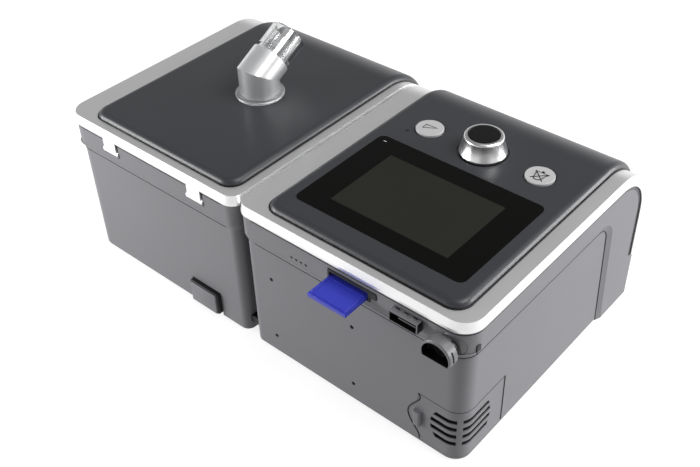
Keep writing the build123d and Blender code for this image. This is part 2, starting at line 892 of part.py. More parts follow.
muffler_low_x = shell_low + bay_depth + wall + moving_fit
muffler_high_y = bay_wall_y - wall
duct_low_z = blower_mid_z + volute_height / 2 + volute_wall + collar_height
duct_top_z = duct_low_z + duct_height
muffler_top_z = duct_top_z + muffler_gap
duct_low_x = blower_x - duct_width / 2
duct_high_x = blower_x + duct_width / 2
with BuildPart() as inlet_muffler:
    block_between(
        (muffler_low_x, muffler_low_y, floor_top_z), (muffler_high_x, muffler_high_y, muffler_top_z)
    )
    fillet(inlet_muffler.edges().filter_by(Axis.Z), 2 * base_edge)
    block_between(
        (muffler_low_x + muffler_wall, muffler_low_y + muffler_wall, floor_top_z + muffler_wall),
        (muffler_high_x - muffler_wall, muffler_high_y - muffler_wall, muffler_top_z - muffler_wall),
        mode=Mode.SUBTRACT,
    )
    along_y(
        (intake_x, intake_z), intake_radius, muffler_high_y - muffler_wall - cut_over,
        muffler_high_y + cut_over, mode=Mode.SUBTRACT,
    )
    block_between(
        (duct_low_x + duct_wall, muffler_low_y - cut_over, duct_low_z + duct_wall),
        (
            duct_high_x - duct_wall, muffler_low_y + muffler_wall + cut_over,
            duct_top_z - duct_wall - cut_over,
        ),
        mode=Mode.SUBTRACT,
    )
inlet_muffler.part.label = "inlet_muffler"
export_step(inlet_muffler.part, "parts/inlet_muffler.step")

with BuildPart() as inlet_duct:
    block_between((duct_low_x, duct_low_y, duct_low_z), (duct_high_x, muffler_low_y, duct_top_z))
    block_between(
        (duct_low_x + duct_wall, duct_low_y + duct_wall, duct_low_z + duct_wall),
        (duct_high_x - duct_wall, muffler_low_y + cut_over, duct_top_z - duct_wall),
        mode=Mode.SUBTRACT,
    )
    upright(
        (blower_x, blower_y), collar_bore, duct_low_z - cut_over, duct_low_z + duct_wall + cut_over,
        mode=Mode.SUBTRACT,
    )
inlet_duct.part.label = "inlet_duct"
export_step(inlet_duct.part, "parts/inlet_duct.step")

volute_low_z = blower_mid_z - volute_height / 2
volute_top_z = volute_low_z + volute_height + volute_wall
outlet_end_x = shell_high - wall - spigot_flange_thickness - hose_length - wall


def around_blower(radius, angle):
    """Give a point at one radius and angle from the blower's axis."""
    return (blower_x + radius * math.cos(angle), blower_y + radius * math.sin(angle))


def volute_half(low_z, high_z):
    """Make the part of the spiral casing that lies between two levels."""
    center = (blower_x, blower_y)
    with BuildPart() as housing:
        upright(center, volute_radius + volute_wall, volute_low_z - volute_wall, volute_top_z)
        along_x((spigot_y, spigot_z), spigot_radius, blower_x, outlet_end_x)
        upright(center, volute_radius, volute_low_z, volute_low_z + volute_height, mode=Mode.SUBTRACT)
        along_x(
            (spigot_y, spigot_z), volute_bore, blower_x, outlet_end_x + cut_over, mode=Mode.SUBTRACT
        )
        block_between(
            (blower_x - 2 * volute_radius, blower_y - 2 * volute_radius, low_z),
            (outlet_end_x + cut_over, blower_y + 2 * volute_radius, high_z),
            mode=Mode.INTERSECT,
        )
    return housing.part


with BuildPart() as blower_lower_housing:
    add(volute_half(volute_low_z - volute_wall, blower_mid_z))
    for turn in range(mount_count):
        post = around_blower(mount_circle, math.pi / 2 + 2 * math.pi * turn / mount_count)
        upright(post, mount_radius, floor_top_z, volute_low_z - volute_wall)
    upright(
        (blower_x, blower_y), motor_shaft_radius + moving_fit, volute_low_z - volute_wall - cut_over,
        volute_low_z + cut_over, mode=Mode.SUBTRACT,
    )
blower_lower_housing.part.label = "blower_lower_housing"
export_step(blower_lower_housing.part, "parts/blower_lower_housing.step")

with BuildPart() as blower_upper_housing:
    add(volute_half(blower_mid_z, volute_top_z))
    upright((blower_x, blower_y), collar_radius, duct_low_z - collar_height, duct_low_z)
    upright(
        (blower_x, blower_y), collar_bore, volute_low_z + volute_height - cut_over, duct_low_z + cut_over,
        mode=Mode.SUBTRACT,
    )
blower_upper_housing.part.label = "blower_upper_housing"
export_step(blower_upper_housing.part, "parts/blower_upper_housing.step")

motor_top_z = volute_low_z - volute_wall
with BuildPart() as blower_motor:
    upright((blower_x, blower_y), motor_radius, motor_top_z - motor_height, motor_top_z)
    fillet(blower_motor.edges().group_by(Axis.Z)[0], base_edge)
    upright(
        (blower_x, blower_y), motor_shaft_radius + running_fit, motor_top_z - motor_height / 2,
        motor_top_z + cut_over, mode=Mode.SUBTRACT,
    )
blower_motor.part.label = "blower_motor"
export_step(blower_motor.part, "parts/blower_motor.step")

impeller_low_z = volute_low_z + impeller_floor
with BuildPart() as motor_shaft:
    upright(
        (blower_x, blower_y), motor_shaft_radius, motor_top_z - motor_height / 2 + moving_fit,
        impeller_low_z + impeller_height,
    )
motor_shaft.part.label = "motor_shaft"
export_step(motor_shaft.part, "parts/motor_shaft.step")

blade_root = hub_radius - blade_thickness
blade_middle = (hub_radius + impeller_radius) / 2
blade_tip = impeller_radius - blade_thickness / 2
with BuildPart() as impeller:
    upright((blower_x, blower_y), impeller_radius, impeller_low_z, impeller_low_z + blade_thickness)
    upright((blower_x, blower_y), hub_radius, impeller_low_z, impeller_low_z + impeller_height)
    for blade in range(blade_count):
        start = 2 * math.pi * blade / blade_count
        with BuildSketch(Plane.XY.offset(impeller_low_z)):
            with BuildLine():
                lead = ThreePointArc(
                    around_blower(blade_root, start),
                    around_blower(blade_middle, start + blade_lean / 3),
                    around_blower(blade_tip, start + blade_lean),
                )
                trail = ThreePointArc(
                    around_blower(blade_tip, start + blade_lean + blade_thickness / blade_tip),
                    around_blower(blade_middle, start + blade_lean / 3 + blade_thickness / blade_middle),
                    around_blower(blade_root, start + blade_thickness / blade_root),
                )
                Line(lead @ 1, trail @ 0)
                Line(trail @ 1, lead @ 0)
            make_face()
        extrude(amount=impeller_height)
    upright(
        (blower_x, blower_y), motor_shaft_radius, impeller_low_z - cut_over,
        impeller_low_z + impeller_height + cut_over, mode=Mode.SUBTRACT,
    )
impeller.part.label = "impeller"
export_step(impeller.part, "parts/impeller.step")

with BuildPart() as air_outlet_spigot:
    along_x(
        (spigot_y, spigot_z), spigot_radius, outlet_end_x + hose_length - hose_grip,
        shell_high + spigot_reach,
    )
    along_x((spigot_y, spigot_z), spigot_flange_radius, wall_inner_x - spigot_flange_thickness, wall_inner_x)
    along_x(
        (spigot_y, spigot_z), spigot_bore, outlet_end_x, shell_high + spigot_reach + cut_over,
        mode=Mode.SUBTRACT,
    )
air_outlet_spigot.part.label = "air_outlet_spigot"
export_step(air_outlet_spigot.part, "parts/air_outlet_spigot.step")

with BuildPart() as outlet_hose:
    along_x(
        (spigot_y, spigot_z), spigot_radius + hose_wall, outlet_end_x - hose_grip,
        outlet_end_x + hose_length,
    )
    along_x(
        (spigot_y, spigot_z), spigot_radius, outlet_end_x - hose_grip - cut_over,
        outlet_end_x + hose_length + cut_over, mode=Mode.SUBTRACT,
    )
outlet_hose.part.label = "outlet_hose"
export_step(outlet_hose.part, "parts/outlet_hose.step")

with BuildPart() as humidifier_socket:
    block_between(
        (plug_end_x - dock_flange, dock_low_y - dock_flange, dock_low_z - dock_flange),
        (wall_inner_x, dock_low_y + dock_width + dock_flange, dock_low_z + dock_height + dock_flange),
    )
    block_between(
        (plug_end_x, dock_low_y - moving_fit, dock_low_z - moving_fit),
        (
            wall_inner_x + cut_over, dock_low_y + dock_width + moving_fit,
            dock_low_z + dock_height + moving_fit,
        ),
        mode=Mode.SUBTRACT,
    )
humidifier_socket.part.label = "humidifier_socket"
export_step(humidifier_socket.part, "parts/humidifier_socket.step")

with BuildPart() as main_feet:
    add(round_feet(main_feet_places))
main_feet.part.label = "main_feet"
export_step(main_feet.part, "parts/main_feet.step")

with BuildPart() as main_screws:
    add(casing_screws(main_posts))
main_screws.part.label = "main_screws"
export_step(main_screws.part, "parts/main_screws.step")

# Main unit: the upper casing with its rear connectors

port_low_z = port_z - port_height / 2
hood_low_y = case_rear_y - outer_corner
socket_low_x = card_x - card_width / 2 - moving_fit - socket_wall
socket_high_x = card_x + card_width / 2 + moving_fit + socket_wall


def card_slot(margin, low_y, high_y, mode=Mode.ADD):
    """Add or cut the card slot's outline: full height round the card, and a low tab beyond it."""
    far_corner = (slot_high_x + margin, high_y, slot_high_z + margin)
    block_between(
        (slot_low_x - margin, low_y, slot_high_z - slot_tab_height - margin), far_corner, mode=mode
    )
    block_between((socket_low_x - margin, low_y, slot_low_z - margin), far_corner, mode=mode)


def hood_outline(radius, foot_z, low_y, high_y, mode=Mode.ADD):
    """Add or cut a round bar along Y with a flat underside, for the power inlet."""
    with BuildSketch(Plane.XZ.offset(-high_y)) as outline:
        with Locations((inlet_x, inlet_z)):
            Circle(radius)
        side = 2 * radius
        rectangle_between(inlet_x - side, inlet_x + side, foot_z - side, foot_z, Mode.SUBTRACT)
    extrude(outline.sketch, amount=high_y - low_y, mode=mode)


main_case_low = main_low_x + trim_lip
main_case_high = main_high_x - trim_lip
with BuildPart() as main_upper_casing:
    add(upper_casing(main_low_x, main_high_x, outer_corner, dock_corner, 0, main_posts))
    card_slot(fit, upper_inner_y - cut_over, case_rear_y + cut_over, mode=Mode.SUBTRACT)
    block_between(
        (port_x - port_width / 2 - fit, upper_inner_y - cut_over, port_low_z - fit),
        (port_x + port_width / 2 + fit, case_rear_y + cut_over, port_low_z + port_height + fit),
        mode=Mode.SUBTRACT,
    )
    hood_outline(
        inlet_neck_radius + fit, inlet_foot_z - fit, hood_low_y, case_rear_y + cut_over, mode=Mode.SUBTRACT
    )
    for place in range(vent_count):
        with BuildSketch(Plane.XZ.offset(-case_rear_y - cut_over)) as vent:
            with Locations((vent_x + (place - (vent_count - 1) / 2) * vent_pitch, vent_z)):
                Triangle(a=vent_size, b=vent_size, c=vent_size, rotation=180)
        extrude(vent.sketch, amount=wall + 2 * cut_over, mode=Mode.SUBTRACT)
    with BuildSketch(Plane.YZ.offset(main_case_low - cut_over)) as oval:
        with Locations((oval_y, oval_z)):
            SlotOverall(oval_height, oval_width, rotation=90)
    extrude(oval.sketch, amount=wall + 4 * cut_over, mode=Mode.SUBTRACT)
main_upper_casing.part.label = "main_upper_casing"
export_step(main_upper_casing.part, "parts/main_upper_casing.step")

with BuildPart() as main_board:
    board_low_x = main_case_low + wall + cut_over
    board_high_x = main_case_high - wall - cut_over
    block_between(
        (board_low_x, shelf_front_y, board_z), (board_high_x, shelf_rear_y, board_z + board_thickness)
    )
main_board.part.label = "main_board"
export_step(main_board.part, "parts/main_board.step")

socket_low_z = board_z + board_thickness
card_low_y = rear_y + card_shown - card_length
with BuildPart() as card_socket:
    block_between(
        (socket_low_x, socket_low_y, socket_low_z),
        (
            socket_high_x, upper_inner_y - slot_flange_depth,
            card_z + card_thickness + moving_fit + socket_wall,
        ),
    )
    block_between(
        (socket_low_x + socket_wall, card_low_y - card_push - moving_fit, card_z - moving_fit),
        (socket_high_x - socket_wall, upper_inner_y, card_z + card_thickness + moving_fit),
        mode=Mode.SUBTRACT,
    )
card_socket.part.label = "card_socket"
export_step(card_socket.part, "parts/card_socket.step")

with BuildPart() as card_slot_bezel:
    card_slot(0, upper_inner_y - slot_flange_depth, case_rear_y + slot_proud)
    slot_edges = card_slot_bezel.edges().filter_by(Axis.Y).group_by(Axis.Z)
    fillet(slot_edges[0] + slot_edges[-1], fit + cut_over / 2)
    block_between(
        (slot_low_x - slot_flange, upper_inner_y - slot_flange_depth, slot_low_z),
        (slot_high_x + slot_flange, upper_inner_y, slot_high_z + slot_flange),
    )
    block_between(
        (socket_low_x + socket_wall, upper_inner_y - wall, card_z - moving_fit),
        (
            socket_high_x - socket_wall, case_rear_y + wall,
            card_z + card_thickness + moving_fit + slot_notch_height,
        ),
        mode=Mode.SUBTRACT,
    )
card_slot_bezel.part.label = "card_slot_bezel"
export_step(card_slot_bezel.part, "parts/card_slot_bezel.step")

with BuildPart() as memory_card:
    block_between(
        (card_x - card_width / 2, card_low_y, card_z),
        (card_x + card_width / 2, rear_y + card_shown, card_z + card_thickness),
    )
    chamfer(memory_card.edges().filter_by(Axis.Z).group_by(Axis.Y)[0].sort_by(Axis.X)[0], length=card_chamfer)
memory_card.part.label = "memory_card"
export_step(memory_card.part, "parts/memory_card.step")

with BuildPart() as comm_port_housing:
    port_low_y = case_rear_y + port_proud - port_depth - port_back
    block_between(
        (port_x - port_width / 2, port_low_y, port_low_z),
        (port_x + port_width / 2, case_rear_y + port_proud, port_low_z + port_height),
    )
    fillet(comm_port_housing.edges().filter_by(Axis.Y), base_edge)
    block_between(
        (port_x - port_width / 2 + port_wall, port_low_y + port_back, port_low_z + port_wall),
        (
            port_x + port_width / 2 - port_wall, case_rear_y + port_proud + cut_over,
            port_low_z + port_height - port_wall,
        ),
        mode=Mode.SUBTRACT,
    )
comm_port_housing.part.label = "comm_port_housing"
export_step(comm_port_housing.part, "parts/comm_port_housing.step")

with BuildPart() as dc_inlet_housing:
    hood_outline(inlet_radius, inlet_foot_z, hood_low_y, case_rear_y + inlet_proud)
    add(
        wrap_block(
            main_case_low, main_case_high, 0, -wrap_radius, case_rear_y, skirt_end_z,
            outer_corner - trim_lip, dock_corner - trim_lip,
        ),
        mode=Mode.SUBTRACT,
    )
    hood_outline(inlet_neck_radius, inlet_foot_z, inlet_neck_y, inlet_bore_y)
    hood_outline(
        inlet_radius - inlet_wall, inlet_foot_z + inlet_wall, inlet_bore_y,
        case_rear_y + inlet_proud + cut_over,
        mode=Mode.SUBTRACT,
    )
    along_y((inlet_x, inlet_z), jack_radius, jack_bottom_y, inlet_bore_y + cut_over, mode=Mode.SUBTRACT)
dc_inlet_housing.part.label = "dc_inlet_housing"
export_step(dc_inlet_housing.part, "parts/dc_inlet_housing.step")

with BuildPart() as dc_pin:
    along_y((inlet_x, inlet_z), pin_radius, jack_bottom_y, inlet_bore_y - pin_radius)
dc_pin.part.label = "dc_pin"
export_step(dc_pin.part, "parts/dc_pin.step")

with BuildPart() as alarm_sounder:
    along_y((vent_x, sounder_z), sounder_radius, upper_inner_y - sounder_depth, upper_inner_y)
alarm_sounder.part.label = "alarm_sounder"
export_step(alarm_sounder.part, "parts/alarm_sounder.step")

# Main unit: silver frame, dark top panel and the controls in it

with BuildPart() as main_trim_frame:
    add(trim_frame(main_low_x, main_high_x, main_window_low, main_window_high, outer_corner, dock_corner))
main_trim_frame.part.label = "main_trim_frame"
export_step(main_trim_frame.part, "parts/main_trim_frame.step")

glass_middle_y = glass_high_y - glass_depth / 2
screen_y = glass_middle_y + screen_shift
glass_low_z = panel_top_z - glass_thickness
ramp_x = control_x + button_spacing / 2
mute_x = control_x - button_spacing / 2
display_board_top = display_board_z + board_thickness
board_span_x = main_window_high - main_window_low - 2 * boss_inset
board_low_y = strip_top_y + panel_seat_width
board_high_y = rear_y - rear_border - boss_inset
with BuildPart() as main_top_panel:
    add(dark_panel(main_window_low, main_window_high))
    for side in (-0.5, 0.5):
        for place_y in (board_low_y + boss_inset, board_high_y - boss_inset):
            upright((control_x + side * board_span_x, place_y), boss_radius, display_board_top, panel_under_z)
    with BuildSketch(Plane.XY.offset(glass_low_z)) as recess:
        with Locations((control_x, glass_middle_y)):
            RectangleRounded(glass_width + 2 * fit, glass_depth + 2 * fit, glass_corner + fit)
    extrude(recess.sketch, amount=glass_thickness + cut_over, mode=Mode.SUBTRACT)
    block_between(
        (control_x - screen_width / 2 - fit, screen_y - screen_depth / 2 - fit, panel_under_z - cut_over),
        (control_x + screen_width / 2 + fit, screen_y + screen_depth / 2 + fit, glass_low_z + fit),
        mode=Mode.SUBTRACT,
    )
    upright(
        (control_x, knob_y), knob_recess_radius, panel_top_z - knob_recess_depth, panel_top_z + cut_over,
        mode=Mode.SUBTRACT,
    )
    upright(
        (control_x, knob_y), bushing_radius + fit, panel_under_z - cut_over, panel_top_z, mode=Mode.SUBTRACT
    )
    for place_x in (ramp_x, mute_x):
        upright(
            (place_x, button_y), button_radius + moving_fit, panel_under_z - cut_over, panel_top_z + cut_over,
            mode=Mode.SUBTRACT,
        )
    upright((light_x, light_y), light_radius, panel_under_z - cut_over, glass_low_z, mode=Mode.SUBTRACT)
    top_circles = main_top_panel.edges().filter_by(GeomType.CIRCLE).group_by(Axis.Z)[-1]
    key_holes = [edge for edge in top_circles if abs(edge.radius - button_radius - moving_fit) < fit]
    chamfer(key_holes, length=key_dish)
main_top_panel.part.label = "main_top_panel"
export_step(main_top_panel.part, "parts/main_top_panel.step")

with BuildPart() as screen_glass:
    with BuildSketch(Plane.XY.offset(glass_low_z)):
        with Locations((control_x, glass_middle_y)):
            RectangleRounded(glass_width, glass_depth, glass_corner)
    extrude(amount=glass_thickness)
screen_glass.part.label = "screen_glass"
export_step(screen_glass.part, "parts/screen_glass.step")

with BuildPart() as lcd_module:
    half_x = screen_width / 2 + module_border
    half_y = screen_depth / 2 + module_border
    block_between(
        (control_x - half_x, screen_y - half_y, display_board_top),
        (control_x + half_x, screen_y + half_y, panel_under_z - module_gap),
    )
    block_between(
        (control_x - screen_width / 2, screen_y - screen_depth / 2, display_board_top),
        (control_x + screen_width / 2, screen_y + screen_depth / 2, glass_low_z - module_gap),
    )
lcd_module.part.label = "lcd_module"
export_step(lcd_module.part, "parts/lcd_module.step")

with BuildPart() as display_board:
    block_between(
        (control_x - board_span_x / 2 - boss_radius, board_low_y, display_board_z),
        (control_x + board_span_x / 2 + boss_radius, board_high_y, display_board_top),
    )
display_board.part.label = "display_board"
export_step(display_board.part, "parts/display_board.step")

bushing_top_z = panel_top_z + bushing_rise
plunger_top_z = bushing_top_z - knob_travel - moving_fit
with BuildPart() as encoder_body:
    block_between(
        (control_x - encoder_size / 2, knob_y - encoder_size / 2, display_board_top),
        (control_x + encoder_size / 2, knob_y + encoder_size / 2, panel_under_z),
    )
    upright((control_x, knob_y), bushing_radius, panel_under_z, bushing_top_z)
    upright(
        (control_x, knob_y), plunger_radius, plunger_low_z - knob_travel - moving_fit,
        bushing_top_z + cut_over,
        mode=Mode.SUBTRACT,
    )
encoder_body.part.label = "encoder_body"
export_step(encoder_body.part, "parts/encoder_body.step")

with BuildPart() as encoder_plunger:
    upright((control_x, knob_y), plunger_radius - running_fit, plunger_low_z, plunger_top_z)
    upright(
        (control_x, knob_y), shaft_radius + running_fit, plunger_low_z + plunger_floor,
        plunger_top_z + cut_over,
        mode=Mode.SUBTRACT,
    )
encoder_plunger.part.label = "encoder_plunger"
export_step(encoder_plunger.part, "parts/encoder_plunger.step")

with BuildPart() as encoder_shaft:
    upright((control_x, knob_y), shaft_radius, plunger_low_z + plunger_floor + moving_fit, shaft_top_z)
encoder_shaft.part.label = "encoder_shaft"
export_step(encoder_shaft.part, "parts/encoder_shaft.step")

knob_low_z = panel_top_z - knob_recess_depth + knob_travel + moving_fit
cap_low_z = knob_top_z - knob_cap_thickness
knob_lip_radius = knob_rim_radius - knob_rim_edge
with BuildPart() as knob_skirt:
    with BuildSketch(Plane.XZ.offset(-knob_y)) as profile:
        with BuildLine():
            Polyline((control_x, knob_low_z), (control_x + knob_base_radius, knob_low_z))
            Line(
                (control_x + knob_base_radius, knob_low_z),
                (control_x + knob_base_radius, knob_low_z + knob_band_height),
            )
            ThreePointArc(
                (control_x + knob_base_radius, knob_low_z + knob_band_height),
                (control_x + knob_waist_radius, (knob_low_z + knob_top_z) / 2),
                (control_x + knob_rim_radius, knob_top_z - knob_rim_edge),
            )
            CenterArc((control_x + knob_lip_radius, knob_top_z - knob_rim_edge), knob_rim_edge, 0, 90)
            Polyline(
                (control_x + knob_lip_radius, knob_top_z), (control_x, knob_top_z), (control_x, knob_low_z)
            )
        make_face()
    revolve(profile.sketch, axis=Axis((control_x, knob_y, 0), (0, 0, 1)))
    upright((control_x, knob_y), knob_cap_radius, cap_low_z, knob_top_z + cut_over, mode=Mode.SUBTRACT)
    upright(
        (control_x, knob_y), knob_cavity_radius, knob_low_z - cut_over, knob_low_z + knob_cavity_height,
        mode=Mode.SUBTRACT,
    )
    upright((control_x, knob_y), shaft_radius, knob_low_z, shaft_top_z, mode=Mode.SUBTRACT)
knob_skirt.part.label = "knob_skirt"
export_step(knob_skirt.part, "parts/knob_skirt.step")

with BuildPart() as knob_cap:
    upright((control_x, knob_y), knob_cap_radius, cap_low_z, knob_top_z)
    fillet(knob_cap.edges().group_by(Axis.Z)[-1], knob_cap_edge)
knob_cap.part.label = "knob_cap"
export_step(knob_cap.part, "parts/knob_cap.step")

button_top_z = panel_top_z + button_height
flange_top_z = button_under_z + button_flange_thickness


def push_button(place_x):
    """Make a round key with a flange that holds it under the panel."""
    with BuildPart() as button:
        upright((place_x, button_y), button_radius, button_under_z, button_top_z)
        fillet(button.edges().group_by(Axis.Z)[-1], button_edge)
        upright((place_x, button_y), button_flange_radius, button_under_z, flange_top_z)
    return button.part


with BuildPart() as ramp_button:
    add(push_button(ramp_x))
ramp_button.part.label = "ramp_button"
export_step(ramp_button.part, "parts/ramp_button.step")

with BuildPart() as mute_button:
    add(push_button(mute_x))
mute_button.part.label = "mute_button"
export_step(mute_button.part, "parts/mute_button.step")

switch_top_z = button_under_z - button_travel - moving_fit
with BuildPart() as tact_switches:
    for place_x in (ramp_x, mute_x):
        block_between(
            (place_x - switch_size / 2, button_y - switch_size / 2, display_board_top),
            (place_x + switch_size / 2, button_y + switch_size / 2, switch_top_z - switch_stem_height),
        )
        upright((place_x, button_y), switch_stem_radius, switch_top_z - switch_stem_height, switch_top_z)
tact_switches.part.label = "tact_switches"
export_step(tact_switches.part, "parts/tact_switches.step")

with BuildPart() as indicator_light:
    upright((light_x, light_y), light_radius, display_board_top, glass_low_z)
indicator_light.part.label = "indicator_light"
export_step(indicator_light.part, "parts/indicator_light.step")

# Humidifier: casings, heater, water tub and the docking parts

spigot_hole_radius = spigot_radius + moving_fit
tank_inner_x = tank_shell_low + wall
button_rear_y = lower_rear_y + release_proud
with BuildPart() as humidifier_lower_casing:
    add(lower_casing(tank_low_x, tank_high_x, dock_corner, outer_corner, tank_feet_places, tank_posts))
    along_x(
        (spigot_y, spigot_z), spigot_hole_radius, tank_shell_low - cut_over, tank_inner_x + cut_over,
        mode=Mode.SUBTRACT,
    )
    block_between(
        (tank_shell_low - cut_over, dock_low_y - fit, dock_low_z - fit),
        (tank_inner_x + cut_over, dock_low_y + dock_width + fit, dock_low_z + dock_height + fit),
        mode=Mode.SUBTRACT,
    )
    block_between(
        (tank_shell_low - cut_over, tongue_low_y - release_travel - moving_fit, tongue_low_z - moving_fit),
        (tank_inner_x + cut_over, tongue_high_y + moving_fit, tongue_high_z + moving_fit),
        mode=Mode.SUBTRACT,
    )
    block_between(
        (
            release_low_x - moving_fit, lower_rear_y - release_depth - release_travel - moving_fit,
            foot_height - cut_over,
        ),
        (release_high_x + moving_fit, lower_rear_y + cut_over, release_top_z + moving_fit),
        mode=Mode.SUBTRACT,
    )
humidifier_lower_casing.part.label = "humidifier_lower_casing"
export_step(humidifier_lower_casing.part, "parts/humidifier_lower_casing.step")

tab_half = tab_foot_width / 2 + moving_fit
with BuildPart() as humidifier_upper_casing:
    add(upper_casing(tank_low_x, tank_high_x, dock_corner, outer_corner, moving_fit, tank_posts))
    for place_x in tab_x:
        block_between(
            (
                place_x - tab_half - hinge_boss_length, upper_inner_y - hinge_boss_depth,
                hinge_z - hinge_boss_height / 2,
            ),
            (place_x + tab_half + hinge_boss_length, upper_inner_y, hinge_z + hinge_boss_height / 2),
        )
        block_between(
            (
                place_x - tab_half, upper_inner_y - hinge_boss_depth - cut_over,
                hinge_z - knuckle_radius - moving_fit,
            ),
            (place_x + tab_half, case_rear_y + cut_over, seam_z),
            mode=Mode.SUBTRACT,
        )
        along_x(
            (hinge_y, hinge_z), hinge_pin_radius, place_x - tab_half - hinge_boss_length,
            place_x + tab_half + hinge_boss_length, mode=Mode.SUBTRACT,
        )
humidifier_upper_casing.part.label = "humidifier_upper_casing"
export_step(humidifier_upper_casing.part, "parts/humidifier_upper_casing.step")

with BuildPart() as hinge_pins:
    for place_x in tab_x:
        along_x(
            (hinge_y, hinge_z), hinge_pin_radius, place_x - tab_half - hinge_boss_length,
            place_x + tab_half + hinge_boss_length,
        )
hinge_pins.part.label = "hinge_pins"
export_step(hinge_pins.part, "parts/hinge_pins.step")

tub_middle = ((tub_low_x + tub_high_x) / 2, (tub_low_y + tub_high_y) / 2)
heater_low_z = floor_top_z + insulator_thickness
heater_top_z = heater_low_z + heater_thickness
tub_low_z = heater_top_z + base_plate_thickness
with BuildPart() as heater_insulator:
    upright(tub_middle, heater_radius, floor_top_z, heater_low_z)
heater_insulator.part.label = "heater_insulator"
export_step(heater_insulator.part, "parts/heater_insulator.step")

with BuildPart() as heater_plate:
    upright(tub_middle, heater_radius, heater_low_z, heater_top_z)
heater_plate.part.label = "heater_plate"
export_step(heater_plate.part, "parts/heater_plate.step")

with BuildPart() as tub_base_plate:
    upright(tub_middle, base_plate_radius, heater_top_z, tub_low_z)
tub_base_plate.part.label = "tub_base_plate"
export_step(tub_base_plate.part, "parts/tub_base_plate.step")

with BuildPart() as water_tub:
    with BuildSketch(Plane.XY.offset(tub_low_z)):
        with Locations(tub_middle):
            RectangleRounded(tub_high_x - tub_low_x, tub_high_y - tub_low_y, tub_corner)
    extrude(amount=tub_top_z - tub_low_z)
    fillet(water_tub.edges().group_by(Axis.Z)[0], 2 * tub_wall)
    with BuildSketch(Plane.XY.offset(tub_top_z - tub_rim_height)):
        with Locations(tub_middle):
            RectangleRounded(
                tub_high_x - tub_low_x + 2 * tub_rim_width, tub_high_y - tub_low_y + 2 * tub_rim_width,
                tub_corner + tub_rim_width,
            )
    extrude(amount=tub_rim_height)
    with BuildSketch(Plane.XY.offset(tub_low_z + tub_wall)):
        with Locations(tub_middle):
            RectangleRounded(
                tub_high_x - tub_low_x - 2 * tub_wall, tub_high_y - tub_low_y - 2 * tub_wall,
                tub_corner - tub_wall,
            )
    extrude(amount=tub_top_z - tub_low_z, mode=Mode.SUBTRACT)
    along_x(
        (spigot_y, spigot_z), tub_port_radius, tub_low_x - cut_over, tub_low_x + tub_wall + cut_over,
        mode=Mode.SUBTRACT,
    )
water_tub.part.label = "water_tub"
export_step(water_tub.part, "parts/water_tub.step")

with BuildPart() as inlet_seal:
    along_x((spigot_y, spigot_z), inlet_seal_radius, tub_low_x - inlet_seal_length, tub_low_x)
    along_x(
        (spigot_y, spigot_z), spigot_hole_radius, tub_low_x - inlet_seal_length - cut_over,
        tub_low_x + cut_over, mode=Mode.SUBTRACT,
    )
inlet_seal.part.label = "inlet_seal"
export_step(inlet_seal.part, "parts/inlet_seal.step")

with BuildPart() as docking_plug:
    block_between(
        (tank_inner_x, dock_low_y - dock_flange, dock_low_z - dock_flange),
        (
            tank_inner_x + dock_flange, dock_low_y + dock_width + dock_flange,
            dock_low_z + dock_height + dock_flange,
        ),
    )
    block_between(
        (plug_end_x + moving_fit, dock_low_y, dock_low_z),
        (tank_inner_x, dock_low_y + dock_width, dock_low_z + dock_height),
    )
    chamfer(docking_plug.faces().sort_by(Axis.X)[0].edges(), cut_over)
docking_plug.part.label = "docking_plug"
export_step(docking_plug.part, "parts/docking_plug.step")

with BuildPart() as humidifier_feet:
    add(round_feet(tank_feet_places))
humidifier_feet.part.label = "humidifier_feet"
export_step(humidifier_feet.part, "parts/humidifier_feet.step")

with BuildPart() as humidifier_screws:
    add(casing_screws(tank_posts))
humidifier_screws.part.label = "humidifier_screws"
export_step(humidifier_screws.part, "parts/humidifier_screws.step")

with BuildPart() as release_button:
    block_between(
        (release_low_x, lower_rear_y - release_depth, foot_height + moving_fit),
        (release_high_x, button_rear_y - release_face_thickness, release_top_z),
    )
    top_corner = release_button.edges().filter_by(Axis.Y).group_by(Axis.Z)[-1].sort_by(Axis.X)[0]
    fillet(top_corner, release_corner)
    block_between(
        (tongue_end_x, tongue_low_y, tongue_low_z), (release_low_x + cut_over, tongue_high_y, tongue_high_z)
    )
release_button.part.label = "release_button"
export_step(release_button.part, "parts/release_button.step")

with BuildPart() as release_button_face:
    block_between(
        (
            release_low_x + release_face_border, button_rear_y - release_face_thickness,
            foot_height + moving_fit + release_face_border,
        ),
        (release_high_x - release_face_border, button_rear_y, release_top_z - release_face_border),
    )
    top_corner = release_button_face.edges().filter_by(Axis.Y).group_by(Axis.Z)[-1].sort_by(Axis.X)[0]
    fillet(top_corner, release_corner - release_face_border)
release_button_face.part.label = "release_button_face"
export_step(release_button_face.part, "parts/release_button_face.step")

# Lid of the humidifier, which turns up about the two pins at the rear

with BuildPart() as lid_frame:
    add(trim_frame(tank_low_x, tank_high_x, lid_window_low, lid_window_high, dock_corner, outer_corner))
    for place_x in tab_x:
        block_between(
            (place_x - tab_width / 2, rear_y - tab_thickness, hinge_z),
            (place_x + tab_width / 2, rear_y, seam_z + panel_seat),
        )
        along_x(
            (hinge_y, hinge_z), knuckle_radius, place_x - tab_foot_width / 2, place_x + tab_foot_width / 2
        )
        along_x(
            (hinge_y, hinge_z), hinge_pin_radius + running_fit, place_x - tab_foot_width,
            place_x + tab_foot_width, mode=Mode.SUBTRACT,
        )
lid_frame.part.label = "lid_frame"
export_step(lid_frame.part, "parts/lid_frame.step")

elbow_center = (elbow_x, elbow_y)
elbow_hole_radius = elbow_spigot_radius + moving_fit
with BuildPart() as lid_panel:
    add(dark_panel(lid_window_low, lid_window_high))
    upright(
        elbow_center, elbow_hole_radius, panel_under_z - cut_over, panel_top_z + cut_over, mode=Mode.SUBTRACT
    )
lid_panel.part.label = "lid_panel"
export_step(lid_panel.part, "parts/lid_panel.step")

